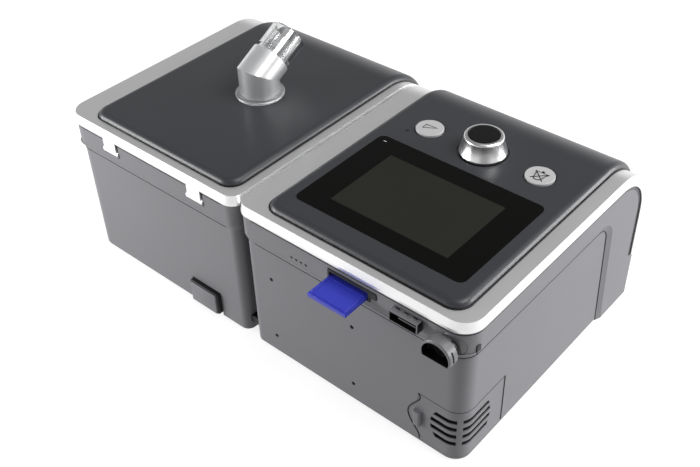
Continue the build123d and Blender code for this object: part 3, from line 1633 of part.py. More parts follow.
liner_low_x = lid_window_low + fit + panel_wall + fit
liner_high_x = lid_window_high - fit - panel_wall - fit
liner_high_y = rear_y - rear_border - panel_wall - 2 * fit
with BuildPart() as lid_liner:
    block_between(
        (liner_low_x, liner_front_y, liner_z), (liner_high_x, liner_high_y, liner_z + liner_thickness)
    )
    fillet(lid_liner.edges().filter_by(Axis.Z).group_by(Axis.Y)[-1], panel_corner - panel_wall)
    for place_x in (liner_low_x + liner_post_inset, liner_high_x - liner_post_inset):
        for place_y in (liner_front_y + liner_post_inset, liner_high_y - liner_post_inset):
            upright((place_x, place_y), liner_post_radius, liner_z + liner_thickness, panel_under_z)
    upright(elbow_center, elbow_hole_radius, liner_z - cut_over, liner_z + wall, mode=Mode.SUBTRACT)
lid_liner.part.label = "lid_liner"
export_step(lid_liner.part, "parts/lid_liner.step")

with BuildPart() as lid_seal:
    with BuildSketch(Plane.XY.offset(tub_top_z + moving_fit)):
        with Locations(tub_middle):
            RectangleRounded(tub_high_x - tub_low_x, tub_high_y - tub_low_y, tub_corner)
            RectangleRounded(
                tub_high_x - tub_low_x - 2 * lid_seal_width, tub_high_y - tub_low_y - 2 * lid_seal_width,
                tub_corner - lid_seal_width, mode=Mode.SUBTRACT,
            )
    extrude(amount=liner_z - tub_top_z - moving_fit)
lid_seal.part.label = "lid_seal"
export_step(lid_seal.part, "parts/lid_seal.step")

with BuildPart() as elbow_seal:
    upright(elbow_center, retainer_radius, liner_z + liner_thickness, panel_under_z)
    upright(elbow_center, elbow_hole_radius, liner_z, panel_under_z + cut_over, mode=Mode.SUBTRACT)
elbow_seal.part.label = "elbow_seal"
export_step(elbow_seal.part, "parts/elbow_seal.step")

# Clear elbow that turns in the lid

flange_low_z = panel_top_z + moving_fit
elbow_flange_top_z = flange_low_z + elbow_flange_height
bend_z = elbow_flange_top_z + elbow_rise
tilt = math.radians(elbow_tilt)
outlet_plane = Plane(
    origin=(elbow_x, elbow_y, bend_z), x_dir=(1, 0, 0), z_dir=(0, -math.cos(tilt), math.sin(tilt))
)


def outlet_tube(radius, start, end, mode=Mode.ADD):
    """Add or cut a round length of the tilted outlet."""
    with BuildSketch(outlet_plane.offset(start)) as outline:
        Circle(radius)
    extrude(outline.sketch, amount=end - start, mode=mode)


def mitred_tube(radius, low_z, reach, mode=Mode.ADD):
    """Add or cut a round bar that rises from the lid and turns by a mitre into the tilted outlet."""
    with BuildLine() as route:
        Line((elbow_x, elbow_y, low_z), (elbow_x, elbow_y, bend_z))
        Line((elbow_x, elbow_y, bend_z), outlet_plane.from_local_coords((0, 0, reach)))
    with BuildSketch(Plane.XY.offset(low_z)) as outline:
        with Locations(elbow_center):
            Circle(radius)
    sweep(outline.sketch, path=route.wire(), transition=Transition.RIGHT, mode=mode)


elbow_bore = elbow_spigot_radius - cuff_wall
with BuildPart() as elbow:
    upright(elbow_center, elbow_spigot_radius, spigot_end_z, flange_low_z)
    upright(elbow_center, elbow_flange_radius, flange_low_z, elbow_flange_top_z)
    fillet(elbow.edges().group_by(Axis.Z)[-1], elbow_flange_height / 2)
    upright(elbow_center, elbow_ring_radius, elbow_flange_top_z, elbow_flange_top_z + elbow_ring_height)
    mitred_tube(elbow_stub_radius, flange_low_z, elbow_sleeve_reach)
    outlet_tube(cuff_root_radius, elbow_sleeve_reach - elbow_wall, cuff_reach - cuff_straight)
    outlet_tube(cuff_radius, cuff_reach - cuff_straight, cuff_reach)
    mitred_tube(
        elbow_stub_radius - elbow_wall, elbow_flange_top_z, elbow_sleeve_reach - elbow_wall,
        mode=Mode.SUBTRACT,
    )
    upright(elbow_center, elbow_bore, spigot_end_z - cut_over, bend_z - elbow_bore, mode=Mode.SUBTRACT)
    outlet_tube(elbow_bore, elbow_bore, cuff_reach + cut_over, mode=Mode.SUBTRACT)
elbow.part.label = "elbow"
export_step(elbow.part, "parts/elbow.step")

with BuildPart() as elbow_retainer:
    retainer_top_z = liner_z - moving_fit
    upright(elbow_center, retainer_radius, retainer_top_z - retainer_thickness, retainer_top_z)
    upright(
        elbow_center, elbow_spigot_radius, retainer_top_z - 2 * retainer_thickness, retainer_top_z + cut_over,
        mode=Mode.SUBTRACT,
    )
elbow_retainer.part.label = "elbow_retainer"
export_step(elbow_retainer.part, "parts/elbow_retainer.step")
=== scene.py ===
"""Dresses a docked breathing machine and humidifier, and sets a plain studio round them."""

import json
import logging
import math
from collections.abc import Iterable, Iterator
from contextlib import contextmanager
from dataclasses import dataclass
from enum import Enum
from typing import ClassVar

import bmesh
import bpy
from mathutils import Matrix, Vector

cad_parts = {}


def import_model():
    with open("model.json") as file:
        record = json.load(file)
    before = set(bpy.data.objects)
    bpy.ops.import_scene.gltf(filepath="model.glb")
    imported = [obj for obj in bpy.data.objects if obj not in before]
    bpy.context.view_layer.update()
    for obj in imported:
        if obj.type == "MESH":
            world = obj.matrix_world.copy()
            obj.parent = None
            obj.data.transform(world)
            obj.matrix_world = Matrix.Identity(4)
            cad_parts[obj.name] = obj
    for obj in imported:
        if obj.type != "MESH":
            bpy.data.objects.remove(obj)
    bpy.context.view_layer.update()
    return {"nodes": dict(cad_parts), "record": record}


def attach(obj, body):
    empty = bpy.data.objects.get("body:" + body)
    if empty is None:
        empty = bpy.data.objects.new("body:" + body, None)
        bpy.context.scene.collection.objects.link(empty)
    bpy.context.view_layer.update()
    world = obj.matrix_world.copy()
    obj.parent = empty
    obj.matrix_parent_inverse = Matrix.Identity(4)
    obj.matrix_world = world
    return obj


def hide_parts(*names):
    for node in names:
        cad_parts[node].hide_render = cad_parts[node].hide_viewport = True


MM = 0.001
PHOTO_WIDTH = 700
EDGE_STEPS = 3
BEAD_STEPS = 2
ROUND_SIDES = 48
SMALL_SIDES = 24
FINE_EDGE = 0.1
CORNER_STEPS = 9
WRAP_STEPS = 15
STRIP_STEPS = 8
FLAT_ENOUGH = 0.99
SAME_POINT = 1e-6
SMOOTH_BELOW = math.radians(35)
FLOW_STRETCH = (1.0, 1.0, 0.3)
FLOW_SCALE = 160.0
NOISE_MIDDLE = 0.5
log = logging.getLogger("scene")

Colour = tuple[float, float, float]
Point = tuple[float, float, float]
Flat = tuple[float, float]
Corners = tuple[Point, Point]
Steady = dict[str, float | Colour]


def ink(red: int, green: int, blue: int) -> Colour:
    """Turn a colour as the eye reads it, from 0 to 255, into the linear values that a shader takes."""
    shares = [value / 255 for value in (red, green, blue)]
    return tuple(s / 12.92 if s <= 0.04045 else ((s + 0.055) / 1.055) ** 2.4 for s in shares)


def shaded(colour: Colour, factor: float) -> Colour:
    """Give a colour made darker or lighter by a factor."""
    return tuple(min(1.0, value * factor) for value in colour)


def put_all_down() -> None:
    """Leave edit mode and deselect everything, so that the next operator works on its own piece."""
    if bpy.context.object and bpy.context.object.mode != "OBJECT":
        bpy.ops.object.mode_set(mode="OBJECT")
    bpy.ops.object.select_all(action="DESELECT")


class Wire:
    """One output of a shader node, which adds, multiplies and compares like a number."""

    def __init__(self, recipe: "Recipe", socket: bpy.types.NodeSocket) -> None:
        """Keep the socket with the recipe that it belongs to."""
        self.recipe = recipe
        self.socket = socket

    def __add__(self, other: "Wire | float") -> "Wire":
        """Give the sum."""
        return self.recipe.math("ADD", self, other)

    __radd__ = __add__

    def __sub__(self, other: "Wire | float") -> "Wire":
        """Give the difference."""
        return self.recipe.math("SUBTRACT", self, other)

    def __rsub__(self, other: float) -> "Wire":
        """Give a number less this wire."""
        return self.recipe.math("SUBTRACT", other, self)

    def __mul__(self, other: "Wire | float") -> "Wire":
        """Give the product."""
        return self.recipe.math("MULTIPLY", self, other)

    __rmul__ = __mul__

    def __truediv__(self, other: "Wire | float") -> "Wire":
        """Give the quotient."""
        return self.recipe.math("DIVIDE", self, other)

    def __abs__(self) -> "Wire":
        """Give the size without its sign."""
        return self.recipe.math("ABSOLUTE", self)

    def swing(self, share: float) -> "Wire":
        """Give how far this noise is from its middle, times a share."""
        return (self - NOISE_MIDDLE) * share

    def step(self, start: float, end: float) -> "Wire":
        """Rise smoothly from 0 at one value of this wire to 1 at another.

        Args:
            start: The value where the step is still 0.
            end: The value where the step has reached 1.

        Returns:
            The step, from 0 to 1.
        """
        settings = {"interpolation_type": "SMOOTHSTEP", "clamp": True}
        sockets = {"Value": self, "From Min": start, "From Max": end}
        if start > end:
            sockets |= {"From Min": end, "From Max": start, "To Min": 1.0, "To Max": 0.0}
        return self.recipe.node("ShaderNodeMapRange", settings, sockets)


class Recipe:
    """The shader nodes of one finish, which end in one Principled shader."""

    def __init__(self, name: str, steady: Steady) -> None:
        """Start an empty material.

        Args:
            name: The material's name.
            steady: What is the same all over the surface, by the shader's socket names.
        """
        self.material = bpy.data.materials.new(name)
        self.material.use_nodes = True
        self.tree = self.material.node_tree
        self.tree.nodes.clear()
        self.shader = self.principled(steady)
        self.output = self.tree.nodes.new("ShaderNodeOutputMaterial")
        self.tree.links.new(self.shader.outputs[0], self.output.inputs["Surface"])

    def principled(self, steady: Steady) -> bpy.types.Node:
        """Add a Principled shader, with values by its socket names."""
        shader = self.tree.nodes.new("ShaderNodeBsdfPrincipled")
        for socket, value in steady.items():
            self.put(shader.inputs[socket], value)
        return shader

    def put(self, socket: bpy.types.NodeSocket, value: "Wire | float | Iterable[float]") -> None:
        """Link a wire to a socket, or set its value.

        Args:
            socket: The input to feed.
            value: A wire, a number, a vector or a colour of three values.
        """
        if isinstance(value, Wire):
            self.tree.links.new(value.socket, socket)
        elif socket.type == "RGBA":
            socket.default_value = (*value, 1.0)
        else:
            socket.default_value = value

    def node(
        self,
        kind: str,
        settings: dict[str, str | bool | int] | None = None,
        sockets: "dict[str | int, Wire | float | Iterable[float]] | None" = None,
        output: int | str = 0,
    ) -> Wire:
        """Add any shader node.

        Args:
            kind: The node's type.
            settings: Its settings, which are made first.
            sockets: The values or wires of its inputs, by name or place.
            output: The output to hand back, by name or place.

        Returns:
            A wire from that output.
        """
        made = self.tree.nodes.new(kind)
        for setting, value in (settings or {}).items():
            setattr(made, setting, value)
        for socket, value in (sockets or {}).items():
            self.put(made.inputs[socket], value)
        return Wire(self, made.outputs[output])

    def math(self, operation: str, *values: Wire | float) -> Wire:
        """Add a Math node on wires or numbers."""
        return self.node("ShaderNodeMath", {"operation": operation}, dict(enumerate(values)))

    def place(self) -> Wire:
        """Give the point on the piece, in its own metres."""
        return self.node("ShaderNodeTexCoord", output="Object")

    def moved(self, at: Wire, centre: Point = (0, 0, 0), stretch: Point = (1, 1, 1)) -> Wire:
        """Give a point measured from a centre, in metres, and stretched along each axis."""
        shift = [-middle * factor for middle, factor in zip(centre, stretch)]
        return self.node("ShaderNodeMapping", None, {"Vector": at, "Location": shift, "Scale": stretch})

    def parts(self, at: Wire) -> tuple[Wire, Wire, Wire]:
        """Split a point into its three lengths."""
        split = self.node("ShaderNodeSeparateXYZ", None, {0: at}).socket.node
        return tuple(Wire(self, split.outputs[axis]) for axis in range(3))

    def point(self, x: Wire | float, y: Wire | float, z: Wire | float) -> Wire:
        """Join three lengths into a point."""
        return self.node("ShaderNodeCombineXYZ", None, {0: x, 1: y, 2: z})

    def noise(self, at: Wire, scale: float, detail: float = 2.0, roughness: float = 0.5) -> Wire:
        """Give soft noise from about 0 to 1, with so many waves to the metre."""
        sockets = {"Vector": at, "Scale": scale, "Detail": detail, "Roughness": roughness}
        return self.node("ShaderNodeTexNoise", None, sockets)

    def cells(self, at: Wire, scale: float, feature: str = "F1") -> Wire:
        """Give the distance pattern of scattered cells, with so many to the metre."""
        return self.node("ShaderNodeTexVoronoi", {"feature": feature}, {"Vector": at, "Scale": scale})

    def mixed(self, share: Wire | float, first: Wire | Colour, second: Wire | Colour) -> Wire:
        """Blend two colours, from all of the first at 0 to all of the second at 1."""
        sockets = {0: share, 6: first, 7: second}
        return self.node("ShaderNodeMix", {"data_type": "RGBA"}, sockets, output=2)

    def feed(self, socket: str, value: Wire) -> None:
        """Send what changes over the surface to the shader."""
        self.put(self.shader.inputs[socket], value)

    def toned(self, share: Wire, colour: Colour, dark: float, light: float) -> None:
        """Feed a colour that runs from a darker tone at 0 to a lighter one at 1, by their factors."""
        self.feed("Base Color", self.mixed(share, shaded(colour, dark), shaded(colour, light)))

    def covered(self, share: Wire, colour: Colour) -> None:
        """Lay a colour over what the surface shows so far, from none of it at 0 to all of it at 1."""
        so_far = Wire(self, self.shader.inputs["Base Color"].links[0].from_socket)
        self.feed("Base Color", self.mixed(share, so_far, colour))

    def blended(self, share: Wire, steady: Steady) -> None:
        """Blend the shader into a second one with values of its own.

        Args:
            share: The second shader's share, from 0 to 1.
            steady: The second shader's values, by its socket names.
        """
        mix = self.tree.nodes.new("ShaderNodeMixShader")
        self.put(mix.inputs[0], share)
        self.tree.links.new(self.shader.outputs[0], mix.inputs[1])
        self.tree.links.new(self.principled(steady).outputs[0], mix.inputs[2])
        self.tree.links.new(mix.outputs[0], self.output.inputs["Surface"])

    def relief(self, height: Wire, depth: float, strength: float) -> None:
        """Raise the surface by a height wire from 0 to 1, which stands so many metres high at 1."""
        sockets = {"Height": height, "Distance": depth, "Strength": strength}
        self.feed("Normal", self.node("ShaderNodeBump", None, sockets))


@dataclass(frozen=True)
class Finish:
    """What every finish has: a name, a colour and how rough it is."""

    STEADY: ClassVar[dict[str, float]] = {}
    RELIEF: ClassVar[Flat] = (0.0, 0.0)
    name: str
    colour: Colour
    roughness: float = 0.5

    def made(self) -> bpy.types.Material:
        """Write the finish as a material."""
        recipe = Recipe(self.name, self.steady())
        self.patterned(recipe)
        return recipe.material

    def steady(self) -> Steady:
        """Give what is the same all over the surface."""
        return {"Roughness": self.roughness, "Base Color": self.colour} | self.STEADY

    def patterned(self, recipe: Recipe) -> None:
        """Add what changes over the surface."""


@dataclass(frozen=True)
class MouldedPlastic(Finish):
    """Plastic from an etched mould: a fine grain, and a tone that drifts a little over each wall."""

    grain: float = 2400.0
    grain_depth: float = 0.00004
    drift: float = 0.05
    gloss: float = 0.45
    patches: float = 22.0
    patch_share: float = 1.4
    grain_share: float = 0.5
    grain_strength: float = 0.6
    shine_drift: float = 0.12

    def steady(self) -> Steady:
        """Give what is the same all over the surface."""
        return super().steady() | {"Specular IOR Level": self.gloss}

    def patterned(self, recipe: Recipe) -> None:
        """Add the grain, the drifting tone and a slight change of shine.

        Args:
            recipe: The finish in work.
        """
        at = recipe.place()
        broad = recipe.noise(at, self.patches, detail=3.0)
        grain = recipe.noise(at, self.grain, detail=1.0)
        share = NOISE_MIDDLE + broad.swing(self.patch_share) + grain.swing(self.grain_share)
        recipe.toned(share, self.colour, 1 - self.drift, 1 + self.drift)
        recipe.feed("Roughness", self.roughness + broad.swing(self.shine_drift))
        recipe.relief(grain, self.grain_depth, self.grain_strength)


@dataclass(frozen=True)
class DarkMouth(MouldedPlastic):
    """Moulded plastic round a socket, whose round mouth is painted black inside as painted shade."""

    mouth_centre: Point = (0, 0, 0)
    mouth_radius: float = 0.007
    mouth_shade_colour: Colour = (0.003, 0.003, 0.003)
    rim: Flat = (1.02, 0.98)
    skin: Flat = (0.0, -0.0002)

    def patterned(self, recipe: Recipe) -> None:
        """Add the plastic's own grain, and painted shade: black behind the mouth's rim.

        Args:
            recipe: The finish in work.
        """
        super().patterned(recipe)
        x, y, z = recipe.parts(recipe.moved(recipe.place(), self.mouth_centre))
        across, upright = x / self.mouth_radius, z / self.mouth_radius
        # Painted shade: the inside of the mouth is turned black, where shade falls.
        inside = (across * across + upright * upright).step(*self.rim) * y.step(*self.skin)
        recipe.covered(inside, self.mouth_shade_colour)


@dataclass(frozen=True)
class ShadedSlots(MouldedPlastic):
    """Moulded plastic round an upright corner, with painted shade in its slots: black that begins a
    little behind the skin.
    """

    corner: Flat = (0.0, 0.0)
    corner_radius: float = 0.0096
    skin: Flat = (0.0002, 0.0009)
    slot_shade_colour: Colour = (0.006, 0.006, 0.006)

    def patterned(self, recipe: Recipe) -> None:
        """Add the plastic's own grain, and the painted shade: black that begins a little behind the
        skin.

        Args:
            recipe: The finish in work.
        """
        super().patterned(recipe)
        x, y, _ = recipe.parts(recipe.moved(recipe.place(), (*self.corner, 0.0)))
        beside = recipe.math("MAXIMUM", 0.0 - x, 0.0)
        behind = recipe.math("MAXIMUM", y, 0.0)
        depth = self.corner_radius - recipe.math("SQRT", beside * beside + behind * behind)
        # Painted shade: black that deepens into the slots behind the skin.
        recipe.covered(depth.step(*self.skin), self.slot_shade_colour)


@dataclass(frozen=True)
class SilverPaint(Finish):
    """Satin silver paint over plastic, with fine metal flakes."""

    STEADY = {"Metallic": 0.75, "Coat Weight": 0.25, "Coat Roughness": 0.25}
    RELIEF = (0.00001, 0.35)
    flake: float = 5200.0
    flake_share: float = 0.35
    patches: float = 16.0
    patch_share: float = 0.5
    tones: Flat = (0.92, 1.07)
    shine_drift: float = 0.08

    def patterned(self, recipe: Recipe) -> None:
        """Add the flakes and a slow change of tone.

        Args:
            recipe: The finish in work.
        """
        at = recipe.place()
        flakes = recipe.cells(at, self.flake)
        broad = recipe.noise(at, self.patches)
        share = self.flake_share * (1.0 + flakes) + broad.swing(self.patch_share)
        recipe.toned(share, self.colour, *self.tones)
        recipe.feed("Roughness", self.roughness + broad.swing(self.shine_drift))
        recipe.relief(flakes, *self.RELIEF)


@dataclass(frozen=True)
class BareMetal(Finish):
    """Bare metal with fine tool marks round an upright axis."""

    STEADY = {"Metallic": 1.0}
    RELIEF = (0.000006, 0.5)
    centre: Point = (0, 0, 0)
    marks: float = 9000.0
    mark_length: float = 0.002
    tones: Flat = (0.9, 1.08)
    shine_drift: float = 0.12

    def patterned(self, recipe: Recipe) -> None:
        """Add the tool marks to the tone, the shine and the relief.

        Args:
            recipe: The finish in work.
        """
        x, y, z = recipe.parts(recipe.moved(recipe.place(), self.centre))
        radius = recipe.math("SQRT", x * x + y * y)
        along = recipe.point(radius, recipe.math("ARCTAN2", y, x) * self.mark_length, z)
        marks = recipe.noise(along, self.marks, roughness=0.6)
        recipe.toned(marks, self.colour, *self.tones)
        recipe.feed("Roughness", self.roughness + marks.swing(self.shine_drift))
        recipe.relief(marks, *self.RELIEF)


@dataclass(frozen=True)
class ClearMoulding(Finish):
    """Clear moulded plastic, with faint flow lines."""

    STEADY = {"Transmission Weight": 1.0, "IOR": 1.49}
    RELIEF = (0.00006, 0.5)
    flow_share: float = 0.5

    def patterned(self, recipe: Recipe) -> None:
        """Add the flow lines to the shine and the relief.

        Args:
            recipe: The finish in work.
        """
        flow = recipe.noise(recipe.moved(recipe.place(), stretch=FLOW_STRETCH), FLOW_SCALE)
        recipe.feed("Roughness", self.roughness + flow.swing(self.roughness * self.flow_share))
        recipe.relief(flow, *self.RELIEF)


@dataclass(frozen=True)
class ElbowPlastic(Finish):
    """Clear moulded plastic, frosted from the swivel's flange to the end of the sleeve."""

    STEADY = {
        "Transmission Weight": 1.0,
        "IOR": 1.45,
        "Coat Weight": 1.0,
        "Coat IOR": 2.2,
        "Coat Roughness": 0.07,
    }
    FROSTED: ClassVar[dict[str, float]] = {
        "Roughness": 0.3,
        "Metallic": 0.35,
        "Transmission Weight": 0.6,
        "IOR": 1.45,
        "Coat Weight": 0.8,
        "Coat IOR": 1.7,
        "Coat Roughness": 0.24,
    }
    RELIEF = (0.00004, 0.4)
    bend: Point = (0, 0, 0)
    way: Point = (0, 0, 1)
    sleeve: Flat = (0.0121, 0.0119)
    flange: Flat = (0.107, 0.1076)
    flange_frost: float = 0.4
    frost_tone: float = 0.95
    grain: float = 900.0
    grain_share: float = 0.06

    def patterned(self, recipe: Recipe) -> None:
        """Blend the clear ends into the frosted middle by the place along the elbow.

        Args:
            recipe: The finish in work.
        """
        at = recipe.place()
        settings = {"operation": "DOT_PRODUCT"}
        sockets = {0: recipe.moved(at, self.bend), 1: self.way}
        along = recipe.node("ShaderNodeVectorMath", settings, sockets, output="Value")
        z = recipe.parts(at)[2]
        flange = self.flange_frost + z.step(*self.flange) * (1 - self.flange_frost)
        frosted = along.step(*self.sleeve) * flange
        grain = recipe.noise(at, self.grain)
        frost = self.FROSTED | {"Base Color": shaded(self.colour, self.frost_tone)}
        recipe.blended(frosted * (1 - self.grain_share + grain * self.grain_share), frost)
        flow = recipe.noise(recipe.moved(at, stretch=FLOW_STRETCH), FLOW_SCALE)
        recipe.relief(flow, *self.RELIEF)


@dataclass(frozen=True)
class DisplayGlass(Finish):
    """Black-backed glass with a window through which the unlit display shows."""

    STEADY = {"IOR": 1.5, "Specular IOR Level": 0.1}
    window_colour: Colour = (0.03, 0.03, 0.03)
    window_centre: Point = (0, 0, 0)
    window_half: Flat = (0.0367, 0.0245)
    border: Flat = (-0.00015, 0.00015)
    smears: float = 30.0
    smear_share: float = 0.05
    tones: Flat = (0.94, 1.06)

    def patterned(self, recipe: Recipe) -> None:
        """Lay the display's window and its thin border into the black.

        Args:
            recipe: The finish in work.
        """
        at = recipe.place()
        x, y, _ = recipe.parts(recipe.moved(at, self.window_centre))
        beyond = recipe.math("MAXIMUM", abs(x) - self.window_half[0], abs(y) - self.window_half[1])
        smear = recipe.noise(at, self.smears, detail=3.0)
        recipe.toned(smear, self.window_colour, *self.tones)
        recipe.covered(beyond.step(*self.border), self.colour)
        recipe.feed("Roughness", self.roughness + smear * self.smear_share)


@dataclass(frozen=True)
class OpenFoam(Finish):
    """Filter foam with open cells."""

    RELIEF = (0.0005, 1.0)
    pores: float = 1100.0
    tones: Flat = (0.35, 1.2)

    def patterned(self, recipe: Recipe) -> None:
        """Add the open cells.

        Args:
            recipe: The finish in work.
        """
        pores = recipe.cells(recipe.place(), self.pores)
        recipe.toned(pores, self.colour, *self.tones)
        recipe.relief(pores, *self.RELIEF)


@dataclass(frozen=True)
class CircuitBoard(Finish):
    """A printed board: lacquer over a faint net of tracks."""

    RELIEF = (0.00003, 0.6)
    track_colour: Colour = (0.05, 0.2, 0.08)
    pad_colour: Colour = ink(176, 150, 84)
    tracks: float = 260.0
    track_edge: Flat = (0.09, 0.05)
    pads: float = 330.0
    pad_edge: Flat = (0.2, 0.16)

    def patterned(self, recipe: Recipe) -> None:
        """Add the tracks and the pads.

        Args:
            recipe: The finish in work.
        """
        at = recipe.place()
        track = recipe.cells(at, self.tracks, "DISTANCE_TO_EDGE").step(*self.track_edge)
        pads = recipe.cells(at, self.pads).step(*self.pad_edge)
        lacquer = recipe.mixed(track, self.colour, self.track_colour)
        recipe.feed("Base Color", recipe.mixed(pads, lacquer, self.pad_colour))
        recipe.relief(track, *self.RELIEF)


class Rack:
    """The finishes of the whole object, each written once as a material."""

    def __init__(self, finishes: Iterable[Finish]) -> None:
        """Write every finish as a material."""
        self.materials = {finish.name: finish.made() for finish in finishes}

    def dress(self, item: bpy.types.Object, name: str) -> None:
        """Give a piece one finish all over.

        Args:
            item: The piece, or a node of the frame.
            name: The finish's name on this rack.
        """
        material = self.materials[name]
        if not item.material_slots:
            item.data.materials.append(material)
        for slot in item.material_slots:
            slot.material = material


class Axis(Enum):
    """The way that a turned piece points."""

    UP = (0.0, 0.0, 1.0)
    REAR = (0.0, 1.0, 0.0)


class Piece:
    """A new piece on the bench, shaped with Blender's own tools from sizes in millimetres."""

    def __init__(self, name: str) -> None:
        """Take up what an operator has just added, with its place and size put into its mesh.

        Args:
            name: The piece's name.
        """
        self.item = bpy.context.object
        self.item.name = name
        bpy.ops.object.transform_apply(location=True, rotation=True, scale=True)

    @classmethod
    def block(cls, name: str, low: Point, high: Point, edge: float) -> "Piece":
        """Make a block with rounded edges.

        Args:
            name: The piece's name.
            low: Its lowest corner.
            high: Its highest corner.
            edge: The radius of its edges.

        Returns:
            The piece.
        """
        put_all_down()
        middle = [(a + b) / 2 * MM for a, b in zip(low, high)]
        sizes = [(b - a) * MM for a, b in zip(low, high)]
        bpy.ops.mesh.primitive_cube_add(size=1.0, location=middle, scale=sizes)
        piece = cls(name)
        with piece.edited():
            bpy.ops.mesh.bevel(offset=edge * MM, segments=EDGE_STEPS, affect="EDGES")
        return piece

    @classmethod
    def turned(
        cls,
        name: str,
        centre: Point,
        profile: Iterable[Flat],
        sides: int = ROUND_SIDES,
        axis: Axis = Axis.UP,
    ) -> "Piece":
        """Make a round piece as on a lathe, one step of its profile after the other.

        Args:
            name: The piece's name.
            centre: The point that the profile's reaches are measured from.
            profile: The radius and reach of each step, from the first face to the last.
            sides: How many sides make the round.
            axis: The way that the reaches run.

        Returns:
            The piece.
        """
        put_all_down()
        centre, way = Vector(centre) * MM, Vector(axis.value)
        (radius, reach), *steps = ((radius * MM, reach * MM) for radius, reach in profile)
        bpy.ops.mesh.primitive_circle_add(
            vertices=sides,
            radius=radius,
            fill_type="NGON",
            location=centre + way * reach,
            rotation=way.to_track_quat("Z", "Y").to_euler(),
        )
        piece = cls(name)
        with piece.edited():
            for next_radius, next_reach in steps:
                shift = way * (next_reach - reach)
                bpy.ops.mesh.extrude_region_move(TRANSFORM_OT_translate={"value": tuple(shift)})
                share = next_radius / radius
                sizes = tuple(1.0 if along else share for along in axis.value)
                bpy.ops.transform.resize(value=sizes, center_override=tuple(centre + way * next_reach))
                radius, reach = next_radius, next_reach
            bpy.ops.mesh.select_all(action="SELECT")
            bpy.ops.mesh.normals_make_consistent(inside=False)
        return piece

    @classmethod
    def bead(cls, name: str, points: Iterable[Point], radius: float, closed: bool = False) -> "Piece":
        """Lay a round bead along a line.

        Args:
            name: The piece's name.
            points: The line's points.
            radius: The bead's radius.
            closed: Whether the last point joins the first.

        Returns:
            The piece.
        """
        put_all_down()
        data = bpy.data.curves.new(name, "CURVE")
        data.dimensions = "3D"
        data.bevel_depth = radius * MM
        data.bevel_resolution = BEAD_STEPS
        data.use_fill_caps = True
        spline = data.splines.new("POLY")
        places = [(x * MM, y * MM, z * MM, 1.0) for x, y, z in points]
        spline.points.add(len(places) - 1)
        for point, place in zip(spline.points, places):
            point.co = place
        spline.use_cyclic_u = closed
        item = bpy.data.objects.new(name, data)
        bpy.context.scene.collection.objects.link(item)
        bpy.context.view_layer.objects.active = item
        item.select_set(True)
        bpy.ops.object.convert(target="MESH")
        return cls(name)

    def taken_up(self) -> "Piece":
        """Select this piece alone, and make it the one in work."""
        put_all_down()
        self.item.select_set(True)
        bpy.context.view_layer.objects.active = self.item
        return self

    @contextmanager
    def edited(self, faces: str = "SELECT") -> Iterator[None]:
        """Open the piece in edit mode for what stands in the block below, and close it again.

        Args:
            faces: SELECT to begin with every face selected, DESELECT with none.

        Yields:
            Nothing.
        """
        self.taken_up()
        bpy.ops.object.mode_set(mode="EDIT")
        bpy.ops.mesh.select_mode(type="FACE")
        bpy.ops.mesh.select_all(action=faces)
        yield
        bpy.ops.object.mode_set(mode="OBJECT")

    def hollowed(self, wall: float, depth: float) -> "Piece":
        """Sink a cavity into the face that looks to the rear.

        Args:
            wall: The thickness of the wall that stays round it.
            depth: How deep it goes.

        Returns:
            The piece.
        """
        with self.edited("DESELECT"):
            faces = bmesh.from_edit_mesh(self.item.data).faces
            rear = [face for face in faces if face.normal.y > FLAT_ENOUGH]
            max(rear, key=lambda face: face.calc_area()).select = True
            bmesh.update_edit_mesh(self.item.data)
            bpy.ops.mesh.inset(thickness=wall * MM, depth=0.0)
            bpy.ops.mesh.extrude_region_move(TRANSFORM_OT_translate={"value": (0.0, -depth * MM, 0.0)})
        return self

    def trimmed_below(self, level: float) -> "Piece":
        """Cut the piece flat along a level plane, and drop what lies below.

        Args:
            level: The plane's height.

        Returns:
            The piece.
        """
        place, up = (0.0, 0.0, level * MM), (0.0, 0.0, 1.0)
        with self.edited():
            bpy.ops.mesh.bisect(plane_co=place, plane_no=up, use_fill=True, clear_inner=True)
        return self

    def joined(self, *others: "Piece") -> "Piece":
        """Take other pieces into this one."""
        self.taken_up()
        for piece in others:
            piece.item.select_set(True)
        bpy.ops.object.join()
        return self

    def copied(self, name: str, *shift: float) -> "Piece":
        """Make a copy with a mesh of its own, moved by a shift."""
        self.taken_up()
        bpy.ops.object.duplicate(linked=False)
        bpy.ops.transform.translate(value=[value * MM for value in shift])
        return Piece(name)

    def cut_by(self, cutter: "Piece") -> "Piece":
        """Cut another piece's shape out of this one, and use that piece up."""
        modifier = self.taken_up().item.modifiers.new("cut", "BOOLEAN")
        modifier.object = cutter.item
        modifier.solver = "EXACT"
        bpy.ops.object.modifier_apply(modifier="cut")
        bpy.data.objects.remove(cutter.item)
        return self


@dataclass
class Assembly:
    """Pieces that belong together, whose sizes are in millimetres."""

    rack: Rack

    def put(
        self,
        piece: Piece,
        body: str = "main_unit",
        slot: str = "black_plastic",
        finish: str = "",
        node: str = "",
    ) -> None:
        """Smooth a piece, dress it and let it ride on a body.

        Args:
            piece: The piece.
            body: The body that carries it.
            slot: The material slot whose finish it wears, unless another finish is given.
            finish: The finish, where it isn't the slot's own.
            node: The node of the frame that it replaces, if any.
        """
        item = piece.taken_up().item
        bpy.ops.object.shade_smooth_by_angle(angle=SMOOTH_BELOW)
        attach(item, body)
        self.rack.dress(item, finish or slot)
        if node:
            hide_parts(node)
        log.info("%s rides on %s", item.name, body)


def arc(centre: Flat, radius: float, start: float, end: float, steps: int) -> list[Flat]:
    """Give evenly spaced points along an arc.

    Args:
        centre: The arc's centre.
        radius: Its radius.
        start: The angle of its first point, in degrees.
        end: The angle of its last point, in degrees.
        steps: How many steps lie between them.

    Returns:
        The points.
    """
    turns = [math.radians(start + (end - start) * step / steps) for step in range(steps + 1)]
    return [(centre[0] + radius * math.cos(a), centre[1] + radius * math.sin(a)) for a in turns]


